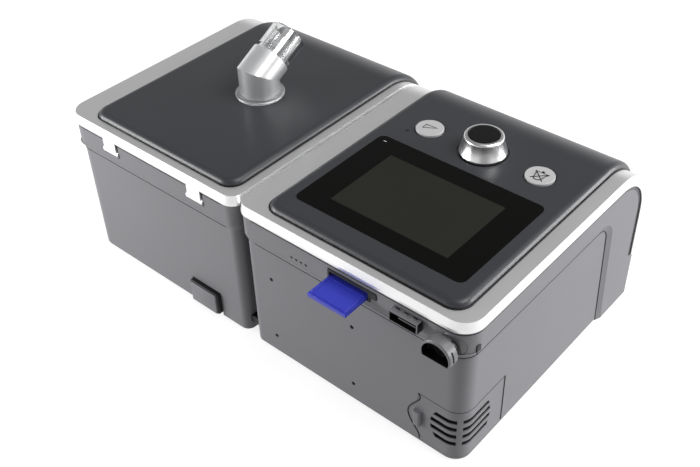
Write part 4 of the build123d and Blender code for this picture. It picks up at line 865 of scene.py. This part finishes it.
@dataclass(frozen=True)
class Wrap:
    """The line on which the trims and panels of one unit run: over the top, and down the front."""

    low_x: float
    high_x: float
    rear_y: float
    corner: float
    bend: Flat = (-60.5, 68.0)
    radius: float = 27.0
    end_z: float = 34.2

    def outline(self, offset: float) -> list[Point]:
        """Give the whole line, from one foot of the front round the rear to the other.

        Args:
            offset: How far outside the seam the line runs.

        Returns:
            The line's points.
        """
        reach = self.radius + offset
        rise = [(self.bend[0] - reach, self.end_z), *arc(self.bend, reach, 180, 90, WRAP_STEPS)]
        z = rise[-1][1]
        back = self.rear_y - self.corner
        left = arc((self.low_x + self.corner, back), self.corner, 180, 90, CORNER_STEPS)
        right = arc((self.high_x - self.corner, back), self.corner, 90, 0, CORNER_STEPS)
        up = [(self.low_x, y, height) for y, height in rise]
        down = [(self.high_x, y, height) for y, height in reversed(rise)]
        return [*up, *((x, y, z) for x, y in left + right), *down]


@dataclass
class SeamShadows(Assembly):
    """Painted shade round the panels and under the trims: fine black beads in the gaps, where shade
    falls.
    """

    panel_level: float = 6.05
    panel_bead: float = 0.55
    trim_beads: tuple[Flat, ...] = ((-0.35, 0.44), (-1.75, 0.22))
    panels: tuple[tuple[str, Wrap], ...] = (
        ("main_unit", Wrap(-135.55, -11.35, 72.55, 9.1)),
        ("lid", Wrap(10.95, 127.55, 72.55, 9.1)),
    )
    casings: tuple[tuple[str, Wrap], ...] = (
        ("main_unit", Wrap(-144.2, 2.8, 77.7, 11.2)),
        ("humidifier", Wrap(5.2, 144.2, 77.7, 11.2)),
    )

    def build(self) -> None:
        """Lay a black bead of painted shade round each panel, and two under each trim."""
        # Painted shade: black beads in the shaded gaps round each panel and under each trim.
        for body, wrap in self.panels:
            outline = wrap.outline(self.panel_level)
            self.put(Piece.bead(f"{body}_panel_shadow", outline, self.panel_bead, True), body)
        for body, wrap in self.casings:
            name = f"{body}_trim_shadow"
            beads = [Piece.bead(name, wrap.outline(at), radius) for at, radius in self.trim_beads]
            self.put(beads[0].joined(*beads[1:]), body)


@dataclass
class KeySigns(Assembly):
    """The raised signs on the two keys: a ramp, and a bell that is crossed out."""

    level: float = 105.2
    line: float = 0.26
    ramp: tuple[Flat, ...] = ((-34.4, -31.9), (-34.35, -35.8), (-41.5, -36.0))
    bell_x: float = -109.25
    bell_side: tuple[Flat, ...] = (
        (0.0, -29.5), (1.3, -29.9), (2.2, -31.0), (2.5, -32.8), (2.8, -34.6), (3.9, -36.5)
    )
    strokes: tuple[tuple[Flat, Flat], ...] = (
        ((-105.9, -29.8), (-112.5, -36.3)),
        ((-105.5, -36.6), (-112.8, -29.8)),
    )
    clapper_y: float = -37.3
    clapper: tuple[Flat, ...] = ((0.75, 0.0), (0.75, 0.12), (0.525, 0.22))

    def drawn(self, name: str, points: Iterable[Flat], closed: bool = True) -> Piece:
        """Draw one line of a sign on a key's face."""
        return Piece.bead(name, [(x, y, self.level) for x, y in points], self.line, closed)

    def build(self) -> None:
        """Draw both signs."""
        self.put(self.drawn("ramp_sign", self.ramp), "ramp_key")
        right = [(self.bell_x + x, y) for x, y in self.bell_side]
        left = [(self.bell_x - x, y) for x, y in reversed(self.bell_side[1:])]
        bell = self.drawn("mute_sign", right + left)
        strokes = [self.drawn("stroke", stroke, False) for stroke in self.strokes]
        centre = (self.bell_x, self.clapper_y, self.level)
        clapper = Piece.turned("clapper", centre, self.clapper, SMALL_SIDES)
        self.put(bell.joined(*strokes, clapper), "mute_key")


@dataclass
class ScreenMarks(Assembly):
    """The light sensor beside the glass and the small window of the indicator light."""

    sensor: Point = (-28.9, -25.0, 104.5)
    sensor_lens: tuple[Flat, ...] = ((0.9, -0.2), (0.9, 0.1), (0.63, 0.1), (0.36, -0.1))
    window: Corners = ((-26.9, -9.4, 104.4), (-25.1, -8.8, 104.62))

    def build(self) -> None:
        """Make the sensor's dished lens and the window."""
        lens = Piece.turned("light_sensor", self.sensor, self.sensor_lens, SMALL_SIDES)
        self.put(lens, slot="screen_black")
        self.put(Piece.block("indicator_window", *self.window, FINE_EDGE), slot="key_grey")


@dataclass
class CardRim(Assembly):
    """The raised rim round the label field of the memory card, and its grip bar."""

    top: float = 87.1
    corners: tuple[Flat, ...] = ((-84.5, 79.4), (-84.5, 93.2), (-62.7, 93.2), (-62.7, 79.4))
    line: float = 0.28
    bar: Corners = ((-85.4, 93.6, 87.0), (-61.8, 94.4, 87.35))
    edge: float = 0.15

    def build(self) -> None:
        """Lay the rim, and the grip bar at the card's outer end."""
        rim = Piece.bead("card_rim", [(x, y, self.top) for x, y in self.corners], self.line, True)
        self.put(rim.joined(Piece.block("card_bar", *self.bar, self.edge)), "card", "card_blue")


@dataclass
class CommPort(Assembly):
    """The data socket: a black shell under a grey roof with ribs, and a tongue with contacts inside."""

    low: Point = (-118.4, 73.0, 84.9)
    high: Point = (-102.0, 82.1, 90.8)
    wall: float = 0.35
    depth: float = 8.0
    edge: float = 0.2
    finest_edge: float = 0.08
    plate: Corners = ((-121.12, 75.3, 84.68), (-101.88, 77.68, 93.92))
    roof_low_y: float = 76.68
    roof_high_y: float = 82.2
    roof_top: float = 91.2
    rim: Corners = ((-118.45, 81.6, 84.9), (-117.9, 82.2, 91.0))
    ribs: tuple[float, ...] = (-104.6, -109.8, -115.0)
    rib_half: tuple[float, float, float] = (1.3, 0.6, 0.25)
    rib_y: float = 79.9
    rib_shadow_y: float = 79.0
    rib_shadow_half_height: float = 0.1
    tongue: Corners = ((-117.6, 74.5, 88.6), (-107.5, 81.9, 89.3))
    tongue_line: float = 0.2
    contact: Corners = ((-116.15, 75.0, 88.4), (-115.35, 80.9, 88.7))
    contact_pitch: float = 1.6
    contact_count: int = 5

    def build(self) -> None:
        """Make the shell, its plate and roof, the tongue and the contacts."""
        shell = Piece.block("comm_port_shell", self.low, self.high, self.edge)
        self.put(shell.hollowed(self.wall, self.depth), node="comm_port_housing")
        plate = Piece.block("comm_port_plate", *self.plate, FINE_EDGE)
        plate.cut_by(Piece.block("cutter", self.low, self.high, FINE_EDGE))
        self.put(plate, slot="casing_grey")
        self.build_roof()
        self.build_tongue()

    def build_roof(self) -> None:
        """Make the roof with its ribs, black bars of painted shade beside them, and the rim at the
        shell's end.
        """
        near = (self.low[0], self.roof_low_y, self.high[2])
        far = (self.high[0], self.roof_high_y, self.roof_top)
        roof = Piece.block("comm_port_roof", near, far, self.edge)
        rim = Piece.block("rim", *self.rim, FINE_EDGE)
        ribs = self.rib_row("rib", self.rib_y, self.rib_half[2])
        self.put(roof.joined(rim, *ribs), slot="casing_grey")
        # Painted shade: thin black bars where the ribs shade the roof.
        first, *others = self.rib_row("comm_port_rib_shadows", self.rib_shadow_y, self.rib_shadow_half_height)
        self.put(first.joined(*others))

    def rib_row(self, name: str, y: float, tall: float) -> list[Piece]:
        """Make one bar for each rib on the roof, once and then copied.

        Args:
            name: The bars' name.
            y: The bars' middle.
            tall: Half their height.

        Returns:
            The bars.
        """
        x, z = self.ribs[0], self.roof_top
        wide, deep, _ = self.rib_half
        near, far = (x - wide, y - deep, z - tall), (x + wide, y + deep, z + tall)
        first = Piece.block(name, near, far, self.finest_edge)
        return [first, *(first.copied(name, place - x, 0.0, 0.0) for place in self.ribs[1:])]

    def build_tongue(self) -> None:
        """Make the tongue with its pale edge, and its row of contacts."""
        low, high = self.tongue
        self.put(Piece.block("comm_port_tongue", low, high, FINE_EDGE))
        ends = [(low[0], high[1], high[2]), high]
        self.put(Piece.bead("comm_port_tongue_edge", ends, self.tongue_line), slot="casing_grey")
        first = Piece.block("comm_port_contacts", *self.contact, self.finest_edge)
        places = [place * self.contact_pitch for place in range(1, self.contact_count)]
        self.put(first.joined(*(first.copied("contact", x, 0.0, 0.0) for x in places)), slot="steel")


@dataclass
class PowerInlet(Assembly):
    """The power socket: a half-round hood on its neck with a finger groove, and the jack's ring."""

    hood: Flat = (-131.6, 82.9)
    radius: float = 8.45
    edge: float = 0.45
    hood_y: Flat = (79.4, 85.7)
    foot_z: float = 79.1
    mouth: Flat = (-131.4, 82.3)
    mouth_radius: float = 7.65
    mouth_y: Flat = (80.7, 87.7)
    mouth_foot: float = 79.4
    neck: Flat = (-134.2, 85.0)
    neck_y: Flat = (70.0, 77.65)
    neck_radius: float = 7.0
    neck_foot: float = 80.7
    collar: Flat = (-130.9, 83.6)
    collar_y: Flat = (74.0, 80.2)
    collar_radius: float = 6.9
    collar_foot: float = 79.8
    corner: Point = (-133.0, 66.5, 0.0)
    corner_round: tuple[Flat, Flat] = ((11.15, 60.0), (11.15, 110.0))
    outside: Corners = ((-148.0, 66.5, 70.0), (-133.0, 86.5, 100.0))
    groove_y: float = 83.0
    groove_turns: tuple[int, int, int] = (146, 186, 10)
    groove_line: float = 0.42
    ring_radius: float = 2.9
    ring_y: float = 81.0
    ring_line: float = 0.3
    ring_turns: tuple[int, int, int] = (0, 348, 29)

    def around(self, radius: float, y: float, start: int, end: int, steps: int) -> list[Point]:
        """Give points round the hood's axis, at one depth."""
        return [(x, y, z) for x, z in arc(self.hood, radius, start, end, steps)]

    def rod(self, name: str, centre: Flat, radius: float, ends: Flat, foot: float) -> Piece:
        """Make a round rod along y, whose ends have a small edge and which is cut flat below.

        Args:
            name: The rod's name.
            centre: The x and z of its axis.
            radius: Its radius.
            ends: The y of its two ends.
            foot: The level below which it is cut off.

        Returns:
            The rod.
        """
        small, length = radius - self.edge, ends[1] - ends[0]
        steps = [(small, 0.0), (radius, self.edge), (radius, length - self.edge), (small, length)]
        rod = Piece.turned(name, (centre[0], ends[0], centre[1]), steps, axis=Axis.REAR)
        return rod.trimmed_below(foot)

    def fitted_neck(self) -> Piece:
        """Make the neck that fills the casing's hole, cut to the round of the casing's corner."""
        neck = self.rod("neck", self.neck, self.neck_radius, self.neck_y, self.neck_foot)
        outside = Piece.block("outside", *self.outside, FINE_EDGE)
        outside.cut_by(Piece.turned("corner", self.corner, self.corner_round, 2 * ROUND_SIDES))
        return neck.cut_by(outside)

    def build(self) -> None:
        """Make the hood, its collar and neck, a black crescent of painted shade in the groove, and the
        jack's ring.
        """
        hood = self.rod("power_hood", self.hood, self.radius, self.hood_y, self.foot_z)
        collar = self.rod("collar", self.collar, self.collar_radius, self.collar_y, self.collar_foot)
        bore = self.rod("bore", self.mouth, self.mouth_radius, self.mouth_y, self.mouth_foot)
        hood.cut_by(bore).joined(collar, self.fitted_neck())
        self.put(hood, "main_unit", "casing_grey", "power_hood_plastic", "dc_inlet_housing")
        crescent = self.around(self.radius, self.groove_y, *self.groove_turns)
        # Painted shade: a black bead along the finger groove.
        self.put(Piece.bead("power_hood_groove_shade", crescent, self.groove_line))
        circle = self.around(self.ring_radius, self.ring_y, *self.ring_turns)
        self.put(Piece.bead("power_jack_ring", circle, self.ring_line, True))


@dataclass
class HoleShades(Assembly):
    """Black blocks of painted shade just behind the oval hole in the main unit's end and behind the
    sounder's vents.
    """

    oval_hole: Corners = ((-144.08, 67.6, 79.7), (-142.9, 70.4, 85.3))
    vents: Corners = ((-47.7, 76.6, 82.4), (-32.7, 77.5, 85.6))
    edge: float = 0.2

    def build(self) -> None:
        """Make both blocks of painted shade."""
        # Painted shade: black just behind each hole, so that it reads as a shaded hollow.
        for name, corners in (("oval_hole_shade", self.oval_hole), ("vent_shade", self.vents)):
            self.put(Piece.block(name, *corners, self.edge))


@dataclass
class ReleaseButton(Assembly):
    """The undocking button low on the humidifier's rear, with its latch tongue."""

    base: Corners = ((28.6, 66.2, 4.6), (51.9, 78.9, 20.0))
    base_edge: float = 0.9
    tongue: Corners = ((-7.0, 68.5, 8.0), (29.6, 72.5, 13.0))
    tongue_edge: float = 0.3
    cap: Corners = ((29.6, 78.0, 5.0), (50.9, 79.7, 19.0))
    cap_edge: float = 0.6

    def build(self) -> None:
        """Make the dark base with its tongue, and the grey cap."""
        base = Piece.block("release_body", *self.base, self.base_edge)
        base.joined(Piece.block("tongue", *self.tongue, self.tongue_edge))
        self.put(base, "dock_release", node="release_button")
        cap = Piece.block("release_cap", *self.cap, self.cap_edge)
        self.put(cap, "dock_release", "casing_grey", node="release_button_face")


@dataclass
class SkirtLines(Assembly):
    """The black lines of painted shade under each casing's skirt, down its front strip, and round the
    filter cover.
    """

    line: float = 0.36
    top_line: float = 0.12
    level: float = 77.0
    rear_y: float = 76.15
    brow_out: float = 1.35
    brow_level: float = 80.6
    strip_top_y: float = -52.5
    strip_foot: Flat = (-58.5, 3.0)
    strip_round: float = 10.0
    corner: float = 9.6
    sides: tuple[tuple[str, float, float], ...] = (
        ("main_unit", -142.65, 1.25), ("humidifier", 6.75, 142.65)
    )
    cover_level: float = 38.1
    cover_side_y: float = 39.4
    cover_rear_x: float = -115.4
    cover_foot: float = 5.0
    wave: tuple[Flat, ...] = ((39.0, 0.0), (29.6, 1.5), (21.2, 5.7), (12.8, 2.0), (3.5, -1.5))
    wave_steps: int = 24

    def side_view(self) -> list[Flat]:
        """Give the skirt line from the foot of the front strip to the top, with its rounded turn."""
        foot_y, foot_z = self.strip_foot
        lean = math.atan2(self.strip_top_y - foot_y, self.level - foot_z)
        reach = self.strip_round
        centre_y = self.strip_top_y - reach * math.tan(lean) + reach / math.cos(lean)
        centre = (centre_y, self.level - reach)
        return [self.strip_foot, *arc(centre, reach, 180 - math.degrees(lean), 90, STRIP_STEPS)]

    def round_rear(self, low: float, high: float, out: float, level: float) -> list[Point]:
        """Give the line round both upright rear corners, from one side to the other.

        Args:
            low: The x of the first side.
            high: The x of the other side.
            out: How far outside the wall the line runs.
            level: The line's height.

        Returns:
            The line's points.
        """
        middle_y = self.rear_y - self.corner + out
        first = arc((low + self.corner - out, middle_y), self.corner, 180, 90, CORNER_STEPS)
        last = arc((high - self.corner + out, middle_y), self.corner, 90, 0, CORNER_STEPS)
        return [(x, y, level) for x, y in first + last]

    def wave_x(self, z: float) -> float:
        """Give the waved edge's place at a height, on the smooth line through its points.

        Args:
            z: The height.

        Returns:
            The edge's x.
        """
        total = self.cover_rear_x
        for height, reach in self.wave:
            others = [other for other, _ in self.wave if other != height]
            total += reach * math.prod((z - other) / (height - other) for other in others)
        return total

    def build(self) -> None:
        """Lay the lines: black ones of painted shade, and body-coloured brows."""
        rise = self.side_view()
        for body, low, high in self.sides:
            up = [(low, y, z) for y, z in rise]
            down = [(high, y, z) for y, z in reversed(rise)]
            seam = [*up, *self.round_rear(low, high, 0.0, self.level), *down]
            # Painted shade: a black bead where the skirt's lip shades the wall below it.
            self.put(Piece.bead(f"{body}_skirt_shadow", seam, self.line), body)
            brow = self.round_rear(low, high, self.brow_out, self.brow_level)
            self.put(Piece.bead(f"{body}_skirt_brow", brow, self.line), body, "casing_grey")
        self.build_cover_shadow(*self.sides[0][1:])

    def build_cover_shadow(self, low: float, high: float) -> None:
        """Lay the black lines of painted shade round the filter cover: its waved rear edge, its side
        edge and its top.

        Args:
            low: The x of the wall that the cover's side lies in.
            high: The x of the main unit's other wall.
        """
        drop = (self.cover_level - self.cover_foot) / self.wave_steps
        heights = [self.cover_level - step * drop for step in range(self.wave_steps + 1)]
        rear = [(self.wave_x(z), self.rear_y, z) for z in heights]
        side = [(low, self.cover_side_y, z) for z in (self.cover_foot, self.cover_level)]
        corner = self.round_rear(low, high, 0.0, self.cover_level)[: CORNER_STEPS + 1]
        # Painted shade: black beads in the gaps round the filter cover.
        seam = Piece.bead("filter_cover_shadow", rear, self.line)
        side_line = Piece.bead("side_line", side, self.line)
        top_line = Piece.bead("top_line", [side[-1], *corner, rear[0]], self.top_line)
        self.put(seam.joined(side_line, top_line))


@dataclass
class Underside(Assembly):
    """The screws and the rubber feet that show from below."""

    units: tuple[tuple[str, str], ...] = (("main_unit", "main"), ("humidifier", "humidifier"))
    screw_sides: int = 32
    shaft_share: float = 0.5
    tip_share: float = 0.6
    head_height: float = 1.6
    head_steps: tuple[Flat, ...] = ((1.0, 1.6), (1.0, 0.6), (0.86, 0.2), (0.6, 0.0))
    recess_arm: float = 0.55
    recess_half: float = 0.4
    recess_z: Flat = (-1.0, 0.9)
    foot_edge: float = 0.5
    tread: tuple[float, ...] = (0.8, 0.55, 0.3)
    tread_steps: tuple[Flat, ...] = ((0.0, 0.0), (0.1, 0.4), (0.6, 0.4), (0.7, 0.0))

    def places(self, node: bpy.types.Object) -> list[tuple[Vector, Vector]]:
        """Give the lowest and highest corner of each loose part of a node.

        Args:
            node: A node of the frame that holds several like parts.

        Returns:
            The corners, one pair to a part.
        """
        mesh = bmesh.new()
        mesh.from_mesh(node.data)
        bmesh.ops.remove_doubles(mesh, verts=mesh.verts, dist=SAME_POINT)
        left = set(mesh.verts)
        found = []
        while left:
            island, front = set(), [left.pop()]
            while front:
                corner = front.pop()
                island.add(corner)
                near = {edge.other_vert(corner) for edge in corner.link_edges} & left
                left -= near
                front += near
            axes = list(zip(*(corner.co for corner in island)))
            found.append(tuple(Vector(map(end, axes)) / MM for end in (min, max)))
        mesh.free()
        return sorted(found, key=lambda corners: tuple(corners[0]))

    def build(self, nodes: dict[str, bpy.types.Object]) -> None:
        """Put modelled screws and feet in the places of the frame's plain ones.

        Args:
            nodes: The nodes of the frame.
        """
        kinds = (("screws", self.screw, "steel"), ("feet", self.foot, "soft_rubber"))
        for body, unit in self.units:
            for kind, make, slot in kinds:
                node = f"{unit}_{kind}"
                (low, high), *others = self.places(nodes[node])
                first = make(f"{node}_finished", low, high)
                rest = [first.copied("copy", *(place - low)) for place, _ in others]
                self.put(first.joined(*rest), body, slot, node=node)

    def screw(self, name: str, low: Vector, high: Vector) -> Piece:
        """Make one pan-head screw with a cross recess, where a plain one stands in the frame.

        Args:
            name: The piece's name.
            low: The plain screw's lowest corner.
            high: Its highest corner.

        Returns:
            The screw.
        """
        x, y, _ = (low + high) / 2
        z, head = low.z, (high.x - low.x) / 2
        shaft = head * self.shaft_share
        steps = [(shaft * self.tip_share, high.z), (shaft, high.z - shaft)]
        steps.append((shaft, z + self.head_height))
        steps += [(head * share, z + rise) for share, rise in self.head_steps]
        screw = Piece.turned(name, (x, y, 0.0), steps, self.screw_sides)
        arm, half = head * self.recess_arm, self.recess_half
        foot, top = (z + rise for rise in self.recess_z)
        for wide, deep in ((arm, half), (half, arm)):
            near, far = (x - wide, y - deep, foot), (x + wide, y + deep, top)
            screw.cut_by(Piece.block("cutter", near, far, FINE_EDGE))
        return screw

    def foot(self, name: str, low: Vector, high: Vector) -> Piece:
        """Make one rubber foot with rings in its tread, where a plain one stands in the frame.

        Args:
            name: The piece's name.
            low: The plain foot's lowest corner.
            high: Its highest corner.

        Returns:
            The foot.
        """
        x, y, _ = (low + high) / 2
        z, radius = low.z, (high.x - low.x) / 2
        steps = [(radius, high.z), (radius, z + self.foot_edge), (radius - self.foot_edge, z)]
        for ring in self.tread:
            steps += [(radius * ring - inward, z + rise) for inward, rise in self.tread_steps]
        return Piece.turned(name, (x, y, 0.0), steps)


@dataclass(frozen=True)
class Camera:
    """The photograph's viewpoint, as found from the corners of the two casings."""

    place: Point = (-306.8 * MM, 337.2 * MM, 408.6 * MM)
    azimuth: float = 221.716
    elevation: float = 39.644
    roll: float = -1.823
    focal: float = 979.32
    sensor: float = 36.0
    clip: Flat = (0.01, 20.0)

    def set_up(self) -> None:
        """Add the camera and make it the scene's own."""
        turn, rise, roll = (math.radians(a) for a in (self.azimuth, self.elevation, self.roll))
        level = Vector((math.sin(turn), -math.cos(turn), 0.0))
        back = level * math.cos(rise) + Vector((0.0, 0.0, math.sin(rise)))
        right = Vector((0.0, 0.0, 1.0)).cross(back).normalized()
        up = back.cross(right)
        right, up = (
            right * math.cos(roll) + up * math.sin(roll),
            up * math.cos(roll) - right * math.sin(roll),
        )
        data = bpy.data.cameras.new("camera")
        data.sensor_width = self.sensor
        data.lens = self.focal / PHOTO_WIDTH * self.sensor
        data.clip_start, data.clip_end = self.clip
        item = bpy.data.objects.new("camera", data)
        turned = Matrix((right, up, back)).transposed().to_4x4()
        item.matrix_world = Matrix.Translation(self.place) @ turned
        bpy.context.scene.collection.objects.link(item)
        bpy.context.scene.camera = item


@dataclass(frozen=True)
class Softbox:
    """A flat lamp that hangs in the studio and faces the object."""

    name: str
    place: Point
    width: float
    height: float
    power: float
    aim: Point = (0.0, 0.0, 0.05)

    def hang(self) -> None:
        """Add the lamp."""
        data = bpy.data.lights.new(self.name, "AREA")
        data.shape = "RECTANGLE"
        data.size = self.width
        data.size_y = self.height
        data.energy = self.power
        item = bpy.data.objects.new(self.name, data)
        item.location = self.place
        away = Vector(self.place) - Vector(self.aim)
        item.rotation_euler = away.to_track_quat("Z", "Y").to_euler()
        bpy.context.scene.collection.objects.link(item)


@dataclass
class Studio:
    """A white sweep of floor, soft lamps, a darker ceiling and the camera."""

    softboxes: tuple[Softbox, ...] = (
        Softbox("lamp_above", (-0.4, -0.1, 1.2), width=1.0, height=1.0, power=2.0),
        Softbox("lamp_right_end", (-0.75, -0.2, 1.05), width=0.9, height=0.5, power=9.0),
        Softbox("lamp_right_low", (-0.9, -0.75, 0.25), width=0.7, height=0.4, power=10.5),
        Softbox("lamp_rear", (0.42, 0.42, 0.2), width=0.35, height=0.2, power=2.95),
    )
    camera: Camera = Camera()
    floor_size: float = 8.0
    floor_tone: float = 0.35
    floor_roughness: float = 0.7
    floor_glow: float = 0.8
    room_light: float = 0.16
    ceiling_shine: float = 0.3
    wall_top: Flat = (0.45, 0.12)
    screen_way: Flat = (-0.67, 0.74)
    screen_edge: Flat = (0.86, 0.97)
    screen_dark: float = 0.8

    def set_up(self) -> None:
        """Set the view, the room, the floor, the lamps and the camera."""
        bpy.context.scene.view_settings.view_transform = "Standard"
        self.light_room()
        self.lay_floor()
        for softbox in self.softboxes:
            softbox.hang()
        self.camera.set_up()

    def rays(self, recipe: Recipe) -> tuple[Wire, Wire]:
        """Give 1 for what the camera sees directly, and 1 for what it sees in mirrors or glass."""
        path = recipe.node("ShaderNodeLightPath").socket.node
        straight, mirror, glass = (
            Wire(recipe, path.outputs[f"Is {kind} Ray"])
            for kind in ("Camera", "Glossy", "Transmission")
        )
        return straight, recipe.math("MINIMUM", mirror + glass, 1.0)

    def light_room(self) -> None:
        """Make a room that looks white, and mirrors as a pale wall under a darker ceiling."""
        world = bpy.data.worlds.new("room")
        world.use_nodes = True
        bpy.context.scene.world = world
        recipe = Recipe("room_recipe", {})
        recipe.tree = world.node_tree
        recipe.tree.nodes.clear()
        x, y, z = recipe.parts(recipe.node("ShaderNodeTexCoord", output="Generated"))
        wall = z.step(*self.wall_top)
        screen = (x * self.screen_way[0] + y * self.screen_way[1]).step(*self.screen_edge)
        shine = self.ceiling_shine + wall * (1 - self.ceiling_shine) * (1 - screen * self.screen_dark)
        straight, mirrored = self.rays(recipe)
        seen = self.room_light + mirrored * (shine - self.room_light)
        strength = recipe.math("MAXIMUM", straight, seen)
        shade = recipe.node("ShaderNodeBackground", None, {"Color": (1, 1, 1), "Strength": strength})
        output = recipe.tree.nodes.new("ShaderNodeOutputWorld")
        recipe.tree.links.new(shade.socket, output.inputs["Surface"])
        bpy.data.materials.remove(recipe.material)

    def lay_floor(self) -> None:
        """Lay a floor that looks white and keeps the object's shadow."""
        put_all_down()
        bpy.ops.mesh.primitive_plane_add(size=self.floor_size)
        floor = bpy.context.object
        floor.name = "floor"
        steady = {"Base Color": (self.floor_tone,) * 3, "Roughness": self.floor_roughness}
        recipe = Recipe("floor", steady)
        recipe.put(recipe.shader.inputs["Emission Color"], (1.0, 1.0, 1.0))
        straight, mirrored = self.rays(recipe)
        recipe.feed("Emission Strength", recipe.math("MAXIMUM", straight, mirrored) * self.floor_glow)
        floor.data.materials.append(recipe.material)


CASING = ink(122, 122, 126)
FINISHES: tuple[Finish, ...] = (
    MouldedPlastic("casing_grey", CASING, 0.5),
    ShadedSlots("filter_cover_plastic", CASING, 0.5, corner=(-133.0 * MM, 66.5 * MM)),
    DarkMouth(
        "power_hood_plastic", ink(112, 112, 115), 0.38,
        mouth_centre=(-131.4 * MM, 85.55 * MM, 82.3 * MM), mouth_radius=7.72 * MM,
    ),
    SilverPaint("silver_trim", ink(232, 232, 232), 0.34),
    MouldedPlastic(
        "dark_panel", ink(55, 56, 60), 0.36, grain=1700.0, grain_depth=0.00002, drift=0.04, gloss=0.42
    ),
    DisplayGlass(
        "screen_glass", ink(10, 11, 9), 0.06,
        window_colour=ink(42, 42, 38), window_centre=(-73.45 * MM, 23.75 * MM, 0.0),
    ),
    MouldedPlastic("screen_black", ink(16, 16, 16), 0.3, gloss=0.15),
    CircuitBoard("board_green", ink(24, 84, 48), 0.35),
    MouldedPlastic(
        "black_plastic", ink(18, 18, 19), 0.42, grain=3000.0, grain_depth=0.00002, gloss=0.25
    ),
    BareMetal("steel", ink(196, 197, 200), 0.28),
    BareMetal("knob_silver", ink(225, 225, 226), 0.27, centre=(-73.45 * MM, -34.2 * MM, 0.0)),
    BareMetal("heater_metal", ink(200, 200, 200), 0.35, centre=(76 * MM, -2.5 * MM, 0.0)),
    MouldedPlastic(
        "key_grey", ink(196, 196, 197), 0.34, grain=3200.0, grain_depth=0.00001, drift=0.03
    ),
    MouldedPlastic("light_green", ink(96, 176, 92), 0.2, grain=900.0, grain_depth=0.00001),
    MouldedPlastic("white_plastic", ink(226, 226, 224), 0.45),
    MouldedPlastic("soft_rubber", ink(40, 40, 42), 0.75, grain=1500.0, grain_depth=0.00006),
    OpenFoam("filter_foam", ink(34, 34, 36), 0.95),
    MouldedPlastic(
        "card_blue", ink(54, 62, 190), 0.28, grain=2600.0, grain_depth=0.00002, drift=0.06
    ),
    ClearMoulding("clear_plastic", ink(250, 251, 252), 0.03),
    ElbowPlastic(
        "elbow_plastic", ink(246, 247, 248), 0.03,
        bend=(63.2 * MM, -2.3 * MM, 117.7 * MM), way=(0.0, -0.88295, 0.46947),
    ),
)
NODE_FINISHES = {
    "elbow": "elbow_plastic",
    "knob_cap": "screen_black",
    "card_slot_bezel": "soft_rubber",
    "filter_cover": "filter_cover_plastic",
}
ASSEMBLIES: tuple[type[Assembly], ...] = (
    SeamShadows, SkirtLines, KeySigns, ScreenMarks, CardRim, CommPort, PowerInlet, HoleShades, ReleaseButton
)


def node_slots(record: dict) -> dict[str, str]:
    """Give the material slot of every node, as the record says."""
    return {part["node"]: part["material_slot"] for part in record["subparts"]}


def main() -> None:
    """Load the frame, dress it, add the pieces and set the studio."""
    logging.basicConfig(level=logging.INFO, format="%(message)s")
    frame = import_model()
    rack = Rack(FINISHES)
    slots = node_slots(frame["record"])
    for name, item in frame["nodes"].items():
        rack.dress(item, NODE_FINISHES.get(name, slots[name]))
    for assembly in ASSEMBLIES:
        assembly(rack).build()
    Underside(rack).build(frame["nodes"])
    Studio().set_up()


if __name__ == "__main__":
    main()
